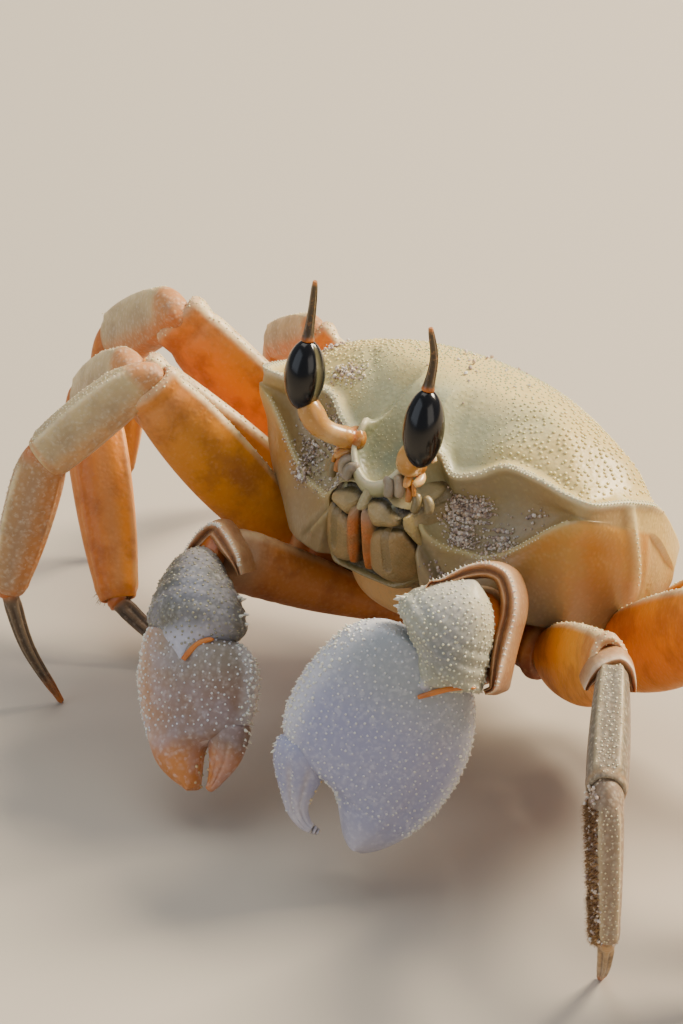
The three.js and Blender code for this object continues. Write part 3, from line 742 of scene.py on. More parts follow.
def back_ring(rim, share):
    """A ring of the back: share 1 lies on the rim and 0 at the centre."""
    x = rim[:, 0] * share
    y = lerp(BACK_CENTRE_Y, rim[:, 1], share)
    reach = lerp(0.16, 0.36, frontness(rim))
    t = np.clip((1 - share) / reach, 0, 1)
    swollen = rise(np.abs(rim[:, 0]), 0.09, 0.15)
    landing = lerp(t * t * (3 - 2 * t), 1 - (1 - t) ** 1.8, swollen)
    return np.stack([x, y, lerp(rim[:, 2], np.maximum(back_height(x, y), rim[:, 2]), landing)], -1)


def lip_ring(rim):
    """The ring of the lip below the rim."""
    x = np.abs(rim[:, 0])
    front = frontness(rim)
    drop = lerp(-0.17 - 0.047 * rise(x, 0.09, 0.2), -0.045, rise(x, 0.25, 0.52))
    return np.stack([
        rim[:, 0] * (1 + 0.1 * hump(x, 0.09, 0.08) * front),
        rim[:, 1] - front * (0.01 + 0.045 * hump(x, 0.11, 0.13) - 0.04 * (1 - rise(x, 0.09, 0.14))),
        lerp(rim[:, 2] - 0.06, drop, front)], -1)


def wall_ring(rim, share):
    """A ring of the side wall: share 0 is at the lip and 1 at the lower edge."""
    x = np.abs(rim[:, 0])
    side = np.sign(rim[:, 0])
    front = frontness(rim)
    lip = lip_ring(rim)
    widened = 0.06 * rise(x, 0, 0.1) * (1 - rise(x, 0.15, 0.45)) * front
    edge = np.stack([
        side * (x * WALL_INSET + widened),
        lerp(rim[:, 1] * 0.9 + 0.04, -0.115 + 0.7 * x * x, front),
        -WALL_HEIGHT - 0.035 * hump(rim[:, 1], 0.25, 0.3)], -1)
    taper = share**1.7
    bulge = 0.01 * math.sin(math.pi * share)
    corner = 1 - 0.07 * front * rise(x, 0.34, 0.5) * rise(share, 0, 0.3)
    mouth = MOUTH_DEPTH * (1 - rise(x, 0.085, 0.125)) * front * rise(share, 0, 0.12)
    return np.stack([
        (lerp(lip[:, 0], edge[:, 0], taper) + side * bulge * rise(x, 0.2, 0.5)) * corner,
        lerp(lip[:, 1], edge[:, 1], lerp(taper, share, front)) + mouth - bulge * front,
        lerp(lip[:, 2], edge[:, 2], share)], -1)


def under_brim_rings(rim):
    """From the brim in under it, round the eye hollow and out to its lower lip."""
    open_ = orbit_opening(rim)
    lip = lip_ring(rim)
    x, y, z = rim.T
    mouth = 0.6 * frontness(rim) * (1 - rise(np.abs(x), 0.04, 0.1))
    hollow = np.maximum(open_, mouth)
    keys = [
        rim,
        np.stack([x, y + 0.4 * ORBIT_DEPTH * open_, z - 0.025 - 0.008 * open_], -1),
        np.stack([x, y + ORBIT_DEPTH * hollow, lerp(z - 0.035, lip[:, 2], 0.35)], -1),
        np.stack([lip[:, 0], lip[:, 1] + ORBIT_DEPTH * open_, lerp(z - 0.035, lip[:, 2], 0.85)], -1),
        wall_ring(rim, 0.0),
    ]
    rings = []
    for k in range(len(keys) - 1):
        a, b = keys[max(k - 1, 0)], keys[min(k + 2, len(keys) - 1)]
        p, q = keys[k], keys[k + 1]
        for t in np.arange(1, LIP_STEPS + 1) / LIP_STEPS:
            m1, m2 = (q - a) / 2, (b - p) / 2
            rings.append(p * (2 * t**3 - 3 * t**2 + 1) + m1 * (t**3 - 2 * t**2 + t)
                         + q * (3 * t**2 - 2 * t**3) + m2 * (t**3 - t**2))
    return rings


def carapace_grid():
    """All rings of the shell, in its own frame, and the kind of each: back, hollow or wall."""
    rim = rim_points(SHELL_COLUMNS)
    shares = 1 - (1 - np.linspace(0, 1, BACK_RINGS + 1)[1:]) ** 1.25
    rings = [back_ring(rim, s) for s in shares]
    kinds = [0] * len(rings)
    inner = under_brim_rings(rim)
    rings += inner
    kinds += [1] * len(inner)
    walls = [wall_ring(rim, s) for s in np.linspace(0, 1, WALL_RINGS + 1)[1:]]
    rings += walls
    kinds += [2] * len(walls)
    last = walls[-1]
    for share in (0.93, 0.6, 0.3):
        rings.append(np.stack([last[:, 0] * share, lerp(BACK_CENTRE_Y, last[:, 1], share),
                               np.full(len(last), -WALL_HEIGHT + 0.01)], -1))
        kinds.append(2)
    return rim, np.array(rings), np.array(kinds)


def ring_faces(rings, columns):
    """Quads between stacked rings, with a fan at the first and last point."""
    faces = [(0, 1 + k, 1 + (k + 1) % columns) for k in range(columns)]
    for r in range(rings - 1):
        a, b = 1 + r * columns, 1 + (r + 1) * columns
        faces += [(a + k, b + k, b + (k + 1) % columns, a + (k + 1) % columns) for k in range(columns)]
    a, last = 1 + (rings - 1) * columns, 1 + rings * columns
    faces += [(a + k, last, a + (k + 1) % columns) for k in range(columns)]
    return faces


def both_sides(line):
    """A line of the left side and its mirror image."""
    line = np.asarray(line, float)
    return line, line * np.array([-1, 1, 1])


def build_carapace():
    """The whole shell with its grooves, ridges and painted colour."""
    rim, rings, kinds = carapace_grid()
    own = np.vstack([[(0, BACK_CENTRE_Y, back_height(0.0, BACK_CENTRE_Y))], rings.reshape(-1, 3),
                     [(0, BACK_CENTRE_Y, -WALL_HEIGHT + 0.01)]])
    kind = np.concatenate([[0], np.repeat(kinds, SHELL_COLUMNS), [2]])
    obj = new_object("carapace_shell", in_shell(own), ring_faces(len(rings), SHELL_COLUMNS))
    activate(obj)
    bpy.ops.object.mode_set(mode="EDIT")
    bpy.ops.mesh.select_all(action="SELECT")
    bpy.ops.mesh.normals_make_consistent(inside=False)
    bpy.ops.object.mode_set(mode="OBJECT")
    x, y, z = own.T
    flat_x = np.abs(x)
    rim_distance, _ = near_line(own, np.vstack([rim, rim[:1]]))
    lip_line = lip_ring(rim)
    opening = orbit_opening(rim)
    lift = np.zeros(len(own))
    back = kind == 0
    # The brim is a rolled edge, low along the sides and gone behind.
    brim = 1 - rise(y, 0.16, 0.3)
    lift += 0.36 * MM * np.exp(-(rim_distance / 0.0095) ** 2) * brim * np.where(back, 1, 0.6)
    behind_brim = brim * back * (1 - rise(y, 0.02, 0.12)) * rise(flat_x, 0.1, 0.14)
    lift -= 0.26 * MM * bell(rim_distance, 0.03, 0.013) * behind_brim
    lips = np.full(len(own), 1e9)
    for side in (1, -1):
        part = (opening > 0.25) & (np.sign(rim[:, 0]) == side)
        line = lip_line[part]
        lips = np.minimum(lips, near_line(own, line[np.argsort(np.abs(line[:, 0]))][::3])[0])
    lift += 0.2 * MM * np.exp(-(lips / 0.009) ** 2) * (kind > 0)
    ridge = np.full(len(own), 1e9)
    brow = ridge.copy()
    neck = ridge.copy()
    fold = ridge.copy()
    cheek = ridge.copy()
    for side in (0, 1):
        ridge = np.minimum(ridge, near_line(own, both_sides(SIDE_RIDGE)[side])[0])
        brow = np.minimum(brow, near_line(own, both_sides(BROW_GROOVE)[side])[0])
        neck = np.minimum(neck, near_line(own, both_sides(NECK_GROOVE)[side])[0])
        fold = np.minimum(fold, near_line(own, both_sides(MOUTH_FOLD)[side])[0])
        cheek = np.minimum(cheek, near_line(own, both_sides(CHEEK_FOLD)[side])[0])
    lift += 0.5 * MM * np.exp(-(ridge / 0.013) ** 2) * (flat_x > 0.4) * (1 - 0.7 * back)
    behind_ridge = rise(y, 0.16 - 0.35 * z, 0.22 - 0.35 * z) * (1 - rise(y, 0.3 - 0.35 * z, 0.42 - 0.35 * z))
    lift -= 0.5 * MM * behind_ridge * (kind == 2) * rise(flat_x, 0.35, 0.45)
    lift -= 0.2 * MM * np.exp(-(brow / 0.012) ** 2) * back
    lift -= 0.08 * MM * np.exp(-(neck / 0.02) ** 2) * back
    lift += 0.55 * MM * np.exp(-(fold / 0.012) ** 2) * (kind == 2)
    lift -= 0.35 * MM * np.exp(-(cheek / 0.014) ** 2) * (kind == 2)
    co = coordinates(obj) + normals(obj) * lift[:, None]
    move_to(obj, co)

    c = tints()
    back_c, brow_c, wall_c = (np.array(v) for v in (c.back, c.brow, c.wall))
    front_zone = (1 - rise(y, -0.07, 0.07)) * (1 - rise(flat_x, 0.1, 0.24))
    brow_zone = np.clip(front_zone + 0.45 * (1 - rise(brow, 0.02, 0.08))
                        + 0.25 * (1 - rise(y, -0.02, 0.12)), 0, 1)
    hollow = (kind == 1) & (y < 0.12)
    cheeks = (kind == 2) & (y < 0.1)
    cheek_green = cheeks * (1 - rise(flat_x, 0.2, 0.38))
    values = blended(
        len(own), back_c,
        (colour("CFB26A"), rise(flat_x, 0.2, 0.45) * 0.8),
        (colour("C9B274"), rise(y, 0.4, 0.62) * 0.7),
        (brow_c, brow_zone * 0.85 * back),
        # Grey green of the beak, darker lower down: partly its own colour, partly painted shade.
        (colour("626A52"),
         (1 - rise(z, -0.04, 0.1)) * (1 - rise(flat_x, 0.08, 0.12)) * (y < 0) * back * 0.85),
        (wall_c, kind == 2),
        (colour("80745A"), (kind == 2) * (1 - rise(z, -0.34, -0.1)) * 0.9),
        (colour("C79B50"), (kind == 2) * rise(z, -0.14, -0.03)),
        (colour("907A56"), cheek_green),
        (colour("C9A868"), (kind == 2) * behind_ridge * rise(flat_x, 0.3, 0.4)),
        (colour("C4A262"), (kind == 2) * rise(y, 0.34 - 0.4 * z, 0.5 - 0.4 * z)),
        (colour("8C7F62"), hollow * 0.95),
        (colour("A58A5C"), hollow * rise(flat_x, 0.26, 0.42)),
        (colour("93906C"), hollow * (1 - rise(flat_x, 0.1, 0.2))),
        (colour("5F5430"), (kind == 2) * np.exp(-(cheek / 0.014) ** 2) * 0.7),
        (colour("A8956A"), (kind == 2) * np.exp(-(fold / 0.01) ** 2) * 0.9),
        (colour("D6D0AE"), np.exp(-(rim_distance / 0.009) ** 2) * brim * 0.85),
        (colour("BFB07C"), np.exp(-(lips / 0.009) ** 2) * (kind > 0) * 0.7),
        (colour("E2CF98"), np.exp(-(ridge / 0.012) ** 2) * (flat_x > 0.4)),
        (colour("8C8862"), np.exp(-(brow / 0.01) ** 2) * back * 0.4),
        (colour("4F462A"), (kind > 0) * (z < -0.15) * (flat_x < 0.1) * (y < 0) * 0.9),
    )
    paint(obj, values)
    finish(obj, "carapace_shell", material("shell"), "shell", "carapace")
    return obj, own, kind, rim


def scatter_back(obj, own, kind, rim):
    """Pearly granules on the back, larger to the sides, and rows of beads on the brim and ridges."""
    rng = np.random.default_rng(SEED)
    co, out = coordinates(obj), normals(obj)
    x, y = np.abs(own[:, 0]), own[:, 1]
    rim_distance, _ = near_line(own, np.vstack([rim, rim[:1]]))
    size = sizes()
    sideways = rise(x + 0.25 * (y - 0.1), 0.08, 0.34)
    brow = (1 - rise(y, 0.0, 0.1)) * (1 - rise(x, 0.16, 0.24))
    amount = lerp(0.62, 1.0, sideways) * (1 - 0.55 * brow)
    keep = (kind == 0) & (rim_distance > 0.028)
    spacing = size.granule_spacing * lerp(0.74, 0.92, sideways)
    chosen = spread(co, keep, spacing, rng)
    radius = size.granule * amount[chosen] * rng.uniform(0.8, 1.15, len(chosen))
    shape = np.stack([radius, radius, radius * 0.75], -1)
    places = co[chosen] + np.cross(out[chosen], rng.normal(0, 0.13 * MM, (len(chosen), 3)))
    light = blended(len(chosen), colour("E2CC8C"), (colour("CFBB7A"), rng.random(len(chosen)) * 0.6),
                    (colour("B9B98E"), 1 - sideways[chosen]))
    repeats = len(small("dome")[0])
    for label, side in SIDES:
        half = own[chosen, 0] * side > 0
        granules = stamped(f"carapace_granules_{label}", small("dome"), places[half], out[chosen][half],
                           shape[half])
        paint(granules, np.repeat(light[half], repeats, axis=0))
        finish(granules, f"carapace_granules_{label}", material("granule"), "shell")

    brim = (kind == 0) & (rim_distance < 0.011) & (x > 0.1) & (y < 0.26)
    lip = (kind >= 1) & (np.abs(own[:, 1]) < 0.12) & (x > 0.13)
    lip_line = lip_ring(rim)
    lips = np.full(len(own), 1e9)
    ridge = lips.copy()
    for side in (1, -1):
        part = (orbit_opening(rim) > 0.25) & (np.sign(rim[:, 0]) == side)
        line = lip_line[part]
        lips = np.minimum(lips, near_line(own, line[np.argsort(np.abs(line[:, 0]))][::3])[0])
        ridge = np.minimum(ridge, near_line(own, both_sides(SIDE_RIDGE)[(1 - side) // 2])[0])
    rows = ((brim, 0.34, 0.12),
            (lip & (lips < 0.006), 0.36, 0.09),
            ((kind == 2) & (ridge < 0.006), 0.36, 0.1))
    places, normals_, radii = [], [], []
    for mask, gap, bead in rows:
        picked = spread(co, mask, gap * MM, rng)
        places.append(co[picked])
        normals_.append(out[picked])
        radii.append(bead * MM * rng.uniform(0.85, 1.1, len(picked)))
    places, normals_, radii = np.vstack(places), np.vstack(normals_), np.concatenate(radii)
    beads = stamped("carapace_rim_beads", small("dome"), places, normals_, radii)
    paint(beads, np.tile(colour("DDD6B4"), (len(places) * repeats, 1)))
    finish(beads, "carapace_rim_beads", material("granule"), "shell")


# Clumps of sand: middle in the shell's frame, reach in shell widths, and grains.
SAND_CLUMPS = [
    ((0.15, -0.04, -0.15), 0.05, 420), ((0.2, -0.005, -0.12), 0.055, 420), ((0.19, -0.04, -0.19), 0.055, 300),
    ((0.17, -0.01, -0.15), 0.085, 420), ((-0.2, -0.03, -0.14), 0.11, 420), ((-0.3, -0.03, -0.1), 0.1, 260),
    ((0.28, -0.03, -0.17), 0.07, 160),
    ((0.27, 0.03, -0.17), 0.05, 50), ((0.34, 0.03, -0.1), 0.05, 24), ((-0.3, -0.04, -0.2), 0.045, 90),
    ((-0.32, 0, -0.17), 0.05, 80), ((-0.25, 0.01, 0.05), 0.05, 60), ((-0.29, 0.01, 0.04), 0.04, 70),
    ((0.0, 0.1, 0.12), 0.3, 40), ((0.2, -0.13, -0.27), 0.05, 25), ((-0.4, 0.12, 0.05), 0.06, 40),
]


def sand_on(name, slot, obj, heaps, rng):
    """Grains of sand stuck to a piece: each heap is a weight for every vertex, a reach and a count."""
    co, out = coordinates(obj), normals(obj)
    chosen, radii = [], []
    for weight, count in heaps:
        picked = rng.choice(len(co), size=count, p=weight / weight.sum())
        chosen.append(picked)
        heaped = weight[picked] / weight.max()
        radii.append(sizes().sand_grain * lerp(0.4, 1.0, heaped) * rng.uniform(0.5, 1.15, count))
    chosen, radii = np.concatenate(chosen), np.concatenate(radii)
    shape = radii[:, None] * rng.uniform(0.65, 1.15, (len(radii), 3))
    lifted = co[chosen] + out[chosen] * (radii * rng.uniform(0.1, 1.1, len(radii)))[:, None]
    lifted += rng.normal(0, 0.12 * MM, lifted.shape)
    grains = stamped(name, small("grain"), lifted, unit(out[chosen] + rng.normal(0, 0.5, lifted.shape)),
                     shape, rng.uniform(0, 6.3, len(radii)))
    shades = [colour(code) for code in ("BFAB9B", "A9958B", "DACDC0", "9A8A84", "CBB49C", "E4DCD2")]
    picked = rng.integers(0, len(shades), len(radii))
    paint(grains, np.repeat(np.array(shades)[picked], len(small("grain")[0]), axis=0))
    finish(grains, name, material("sand"), slot, crease=30)


def scatter_sand(obj, own):
    """Grains of sand that stick to the cheeks, the eye hollows and the back."""
    heaps = []
    for middle, reach, count in SAND_CLUMPS:
        distance = np.linalg.norm(own - np.array(middle), axis=1)
        heaps.append((np.exp(-(distance / (0.6 * reach)) ** 2) * (distance < reach), count))
    sand_on("sand_grains", "shell", obj, heaps, np.random.default_rng(SEED + 1))


# ------------------------------------------------------------------ underside
FLAP_ROWS = [(0, 1.1, 0.2, 2.4), (0.5, 1.3, 0.2, 4.2), (0.9, 1.3, 0.2, 5.6), (1, 1, 0.2, 4.6)]


def in_mm(rows, breadth=1.0):
    """Section rows in millimetres turned into metres."""
    return [(s, *(v * breadth * MM for v in rest)) for s, *rest in rows]


def build_underside():
    """The thorax under the shell and the folded tail flap."""
    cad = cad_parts["thorax"]
    obj = bpy.data.objects.new("thorax_plate", cad.data.copy())
    bpy.context.scene.collection.objects.link(obj)
    activate(obj)
    bpy.ops.object.mode_set(mode="EDIT")
    bpy.ops.mesh.select_all(action="SELECT")
    bpy.ops.mesh.remove_doubles(threshold=0.00001)
    bpy.ops.mesh.tris_convert_to_quads()
    bpy.ops.object.mode_set(mode="OBJECT")
    subdivide(obj, 3)
    co = coordinates(obj)
    own_y = (co[:, 1] - BODY_Y) / SHELL
    seams = np.zeros(len(co))
    for k in range(5):
        seams = np.maximum(seams, bell(own_y + 0.12 * np.abs((co[:, 0] - BODY_X) / SHELL),
                                       -0.02 + 0.115 * k, 0.008))
    move_to(obj, co - normals(obj) * (0.3 * MM * seams)[:, None])
    paint(obj, blended(len(co), colour("E2CFA6"), (colour("B98A50"), seams * 0.7),
                       (colour("D2A060"), 1 - rise(own_y, -0.08, 0.1))))
    finish(obj, "thorax_plate", material("belly"), "belly", "thorax")

    curve = in_shell([(0, 0.12, -BELLY_DEPTH - 0.018), (0, 0.4, -BELLY_DEPTH - 0.022),
                      (0, 0.63, -BELLY_DEPTH + 0.06)])
    length = float(np.linalg.norm(np.diff(curve, axis=0), axis=1).sum())
    flap = pulled_limb(in_mm(FLAP_ROWS), length)
    co = coordinates(flap)
    s = co[:, 2] / length
    joints = sum(bell(s, place, 0.012) for place in (0.17, 0.33, 0.49, 0.65, 0.82))
    move_to(flap, co - normals(flap) * (0.28 * MM * joints)[:, None])
    paint(flap, blended(len(co), colour("E6D6B2"), (colour("B48A56"), joints * 0.7)))
    laid(flap, curve, in_shell([0, 0, -1]) - in_shell([0, 0, 0]), length)
    finish(flap, "tail_flap", material("belly"), "belly", "abdomen")


# ------------------------------------------------------------------ mouth
# Places on the mouth's own plane: across from the middle and down from the top of the mouth, in
# shell widths. A plate has an outline, a height and a colour; a ridge or groove has a line, half a
# width, a height and a colour.
MOUTH_TOP = (0, -0.182, -0.178)
MOUTH_BOTTOM = (0, -0.108, -0.372)
MOUTH_ACROSS = 0.172
MOUTH_DOWN = (-0.085, 0.205)
MOUTH_GRID = (260, 150)
MOUTH_PLATES = (
    ([(0.026, 0.052), (0.047, 0.033), (0.08, 0.025), (0.11, 0.024), (0.131, 0.059), (0.15, 0.1),
      (0.158, 0.13), (0.142, 0.158), (0.085, 0.168), (0.032, 0.152), (0.02, 0.124), (0.017, 0.084)],
     0.026, "96794A"),
    ([(0.012, -0.021), (0.037, -0.03), (0.068, -0.025), (0.1, -0.009), (0.104, 0.01), (0.07, 0.023),
      (0.04, 0.03), (0.02, 0.008)], 0.026, "9E8658"),
    ([(0.113, 0.0), (0.14, -0.008), (0.16, 0.03), (0.168, 0.1), (0.168, 0.16), (0.158, 0.11), (0.136, 0.05)],
     0.012, "8E7A4E"),
)
MOUTH_BORDER = [(-0.1, -0.066), (0.07, -0.064), (0.095, -0.045), (0.115, -0.015), (0.135, 0.01),
                (0.155, 0.05), (0.163, 0.1), (0.165, 0.195), (-0.1, 0.195)]
PALP = [(0.005, -0.01), (0.03, 0.002), (0.042, 0.03), (0.04, 0.07), (0.04, 0.12), (0.032, 0.15),
        (0.016, 0.15), (0.006, 0.115), (0.003, 0.06)]
PALP_HEIGHT = 0.036
MOUTH_RIDGES = (
    ([(0, -0.052), (0.05, -0.055), (0.1, -0.036), (0.112, -0.028)], 0.015, 0.026, "A89C74"),
    ([(0, -0.07), (0, -0.04), (0.001, -0.012)], 0.013, 0.03, "A89A72"),
    ([(0.15, 0.145), (0.11, 0.172), (0.06, 0.184), (0.0, 0.182)], 0.014, 0.022, "8E7A4C"),
    ([(0.109, -0.001), (0.122, 0.022), (0.136, 0.048), (0.152, 0.08), (0.168, 0.125)], 0.006, 0.02, "9A8654"),
    ([(0.02, -0.034), (0.05, -0.037), (0.075, -0.029), (0.102, -0.012)], 0.0075, -0.035, "1A130B"),
    ([(0.077, 0.034), (0.08, 0.075), (0.084, 0.12)], 0.012, -0.004, "846C42"),
    ([(0.105, 0.0), (0.128, 0.055), (0.15, 0.105)], 0.0045, -0.014, "2E2414"),
)


def softened(v, edge=0.02):
    """The value where it is above 0, else 0, turning smoothly."""
    return (v + np.sqrt(v * v + edge * edge)) / 2


def on_mouth(across, down, lift):
    """Places in the shell's frame: the mouth is flat in the middle and falls away to the cheeks."""
    top, bottom = np.array(MOUTH_TOP), np.array(MOUTH_BOTTOM)
    along = unit(bottom - top)
    outward = np.array([0, along[2], -along[1]])
    away = 1.1 * softened(np.abs(across) - 0.1) + 1.3 * softened(-down - 0.02) + 0.4 * softened(down - 0.17)
    place = top + along * down[:, None] + outward * (lift - away)[:, None]
    place[:, 0] += across
    return place


def inside(points, outline):
    """Whether each point of a plane lies inside a closed outline."""
    x, y = points.T
    crossed = np.zeros(len(points), bool)
    for (ax, ay), (bx, by) in zip(outline, np.roll(outline, -1, axis=0)):
        if ay != by:
            crossed ^= ((ay > y) != (by > y)) & (x < ax + (y - ay) * (bx - ax) / (by - ay))
    return crossed


def cushion(points, outline, height):
    """Height of a rounded plate over each point, and how far inside its edge the point lies."""
    edge = through(outline, 8 * len(outline), closed=True)
    distance = near_line(points, np.vstack([edge, edge[:1]]))[0] * np.where(inside(points, edge), 1, -1)
    rounded = np.clip(distance / 0.027, 0, 1)
    return height * np.sqrt(1 - (1 - rounded) ** 2), distance


def closed_sheet(name, grid, inward):
    """A sheet of rows of points, closed behind by a wall round its border and a flat back."""
    rows, columns = grid.shape[:2]
    index = np.arange(rows * columns).reshape(rows, columns)
    quads = np.stack([index[:-1, :-1], index[:-1, 1:], index[1:, 1:], index[1:, :-1]], -1).reshape(-1, 4)
    border = np.concatenate([index[0, :-1], index[:-1, -1], index[-1, :0:-1], index[:0:-1, 0]])
    co = grid.reshape(-1, 3)
    behind = len(co) + np.arange(len(border))
    wall = np.stack([border, behind, np.roll(behind, -1), np.roll(border, -1)], -1)
    faces = [tuple(f) for f in quads.tolist() + wall.tolist()] + [tuple(behind.tolist())]
    obj = new_object(name, np.vstack([co, co[border] + inward]), faces)
    activate(obj)
    bpy.ops.object.mode_set(mode="EDIT")
    bpy.ops.mesh.select_all(action="SELECT")
    bpy.ops.mesh.normals_make_consistent(inside=False)
    bpy.ops.object.mode_set(mode="OBJECT")
    return obj


def mouth_half(label, side):
    """The mouth plates and the palp of one side."""
    rows, columns = MOUTH_GRID
    down, across = np.meshgrid(np.linspace(*MOUTH_DOWN, rows), np.linspace(0, MOUTH_ACROSS, columns),
                               indexing="ij")
    flat = np.stack([across.ravel(), down.ravel()], -1)
    lift = np.zeros(len(flat))
    shades = blended(len(flat), colour("3B301B"), (colour("756742"), rise(flat[:, 0], 0.1, 0.13)))
    for outline, height, code in MOUTH_PLATES:
        dome, within = cushion(flat, outline, height)
        lift = np.maximum(lift, dome)
        shades = blended_over(shades, colour(code), rise(within, 0.001, 0.007))
    for line, half, height, code in MOUTH_RIDGES:
        distance = near_line(flat, through(line, 24))[0]
        profile = np.sqrt(np.clip(1 - (distance / half) ** 2, 0, 1))
        lift = np.maximum(lift, height * profile) if height > 0 else lift + height * profile
        shades = blended_over(shades, colour(code), rise(profile, 0.0, 0.5))
    dome, within = cushion(flat, PALP, PALP_HEIGHT)
    lift = np.maximum(lift, dome)
    palp = blended(len(flat), colour("9A7A5C"), (colour("B2662A"), rise(flat[:, 1], -0.005, 0.035)))
    shades = blended_over(shades, palp, rise(within, 0.0005, 0.006))
    pimples = np.sin(flat[:, 0] * 900) * np.sin(flat[:, 1] * 760 + 2 * np.sin(flat[:, 0] * 300))
    lift += 0.0006 * pimples
    border = near_line(flat, MOUTH_BORDER)[0] * np.where(
        inside(flat, MOUTH_BORDER + [(-0.1, 0.2), (-0.1, -0.07)]), 1, -1)
    lift -= 0.09 * (1 - rise(border, -0.02, 0.02))
    placed = on_mouth(flat[:, 0] * side, flat[:, 1], lift)
    inward = in_shell([0, 0.05, 0]) - in_shell([0, 0, 0])
    obj = closed_sheet(f"maxilliped_{label}_plates", in_shell(placed).reshape(rows, columns, 3), inward)
    extra = len(obj.data.vertices) - len(shades)
    paint(obj, np.vstack([shades, np.tile(colour("3B301B"), (extra, 1))]))
    finish(obj, f"maxilliped_{label}_plates", material("mouth"), "mouthparts", f"maxilliped_{label}")


def joined(name, pieces):
    """Several meshes as one piece."""
    deselect()
    for piece in pieces:
        piece.select_set(True)
    bpy.context.view_layer.objects.active = pieces[0]
    bpy.ops.object.join()
    obj = bpy.context.object
    activate(obj)
    bpy.ops.object.mode_set(mode="EDIT")
    bpy.ops.mesh.select_all(action="SELECT")
    bpy.ops.mesh.normals_make_consistent(inside=False)
    bpy.ops.object.mode_set(mode="OBJECT")
    obj.name = name
    return obj


def bar(points, radius, shade, sides=8, taper=0.6, levels=2, flatten=1.0):
    """A rounded bar along a curve of points in the shell's frame, thicker in the middle."""
    line = in_shell(points)
    length = float(np.linalg.norm(np.diff(line, axis=0), axis=1).sum())
    r = radius * MM
    rows = [(0, r * taper, r * taper, r * taper * flatten), (0.3, r, r, r * flatten),
            (0.7, r, r, r * flatten), (1, r * taper, r * taper, r * taper * flatten)]
    obj = pulled_limb(rows, length, sides=sides, levels=levels)
    laid(obj, line, (0.2, -0.9, 0.4), length)
    paint(obj, np.tile(colour(shade), (len(obj.data.vertices), 1)))
    return obj


# Folds and feelers between the beak and the eye: points in the shell's frame, radius in mm, colour.
FEELERS = (
    ([(0.04, -0.178, -0.088), (0.062, -0.186, -0.1), (0.066, -0.188, -0.128)], 0.62, "8C8070"),
    ([(0.066, -0.172, -0.075), (0.085, -0.18, -0.09), (0.088, -0.178, -0.12)], 0.6, "9A8A74"),
    ([(0.092, -0.16, -0.085), (0.108, -0.168, -0.1), (0.112, -0.17, -0.125)], 0.42, "B06E2C"),
    ([(0.1, -0.168, -0.07), (0.118, -0.172, -0.082), (0.126, -0.172, -0.106)], 0.26, "B8741F"),
    ([(0.12, -0.158, -0.1), (0.13, -0.16, -0.12), (0.128, -0.162, -0.145)], 0.55, "7E6E4A"),
    ([(0.135, -0.145, -0.105), (0.15, -0.142, -0.118), (0.156, -0.142, -0.14)], 0.6, "8A7A58"),
)


def build_mouth():
    """Both halves of the mouth, with the feelers above them."""
    for label, side in SIDES:
        mouth_half(label, side)
        feelers = [bar(mirrored(side, line), *rest, taper=0.75) for line, *rest in FEELERS]
        obj = joined(f"feelers_{label}", feelers)
        finish(obj, f"feelers_{label}", material("mouth"), "mouthparts")


# ------------------------------------------------------------------ eyes
EYE_BASES = {"left": (0.19, -0.262, -0.008), "right": (0.178, -0.262, 0.01)}
EYE_TOP = (0.184, -0.286, 0.18)
EYE_HALF_WIDTH = 2.1 * MM
HORN_FOOT = (0.184, -0.286, 0.172)
HORN_BEND = (0.186, -0.292, 0.255)
HORN_TIP = (0.176, -0.316, 0.325)
STALK_PATH = [(0.082, -0.13, -0.04), (0.105, -0.185, -0.036), (0.135, -0.235, -0.018), (0.168, -0.262, 0.03)]
STALK_ROWS = [(0, 1.2, 1.2, 1.3), (0.15, 1.35, 1.35, 1.45), (0.4, 1.05, 1.05, 1.15), (0.65, 1.2, 1.2, 1.2),
              (0.82, 1.5, 1.5, 1.5), (1, 1.2, 1.2, 1.2)]
HORN_ROWS = [(0, 0.85, 0.85, 0.85), (0.1, 0.66, 0.66, 0.66), (0.2, 0.5, 0.5, 0.5), (0.5, 0.42, 0.42, 0.42),
             (0.85, 0.34, 0.34, 0.34), (1, 0.27, 0.27, 0.27)]


def mirrored(side, points):
    """Points of the left side put on the given side."""
    return np.asarray(points, float) * np.array([side, 1, 1])


def length_of(line):
    """Length of a line through points."""
    return float(np.linalg.norm(np.diff(line, axis=0), axis=1).sum())


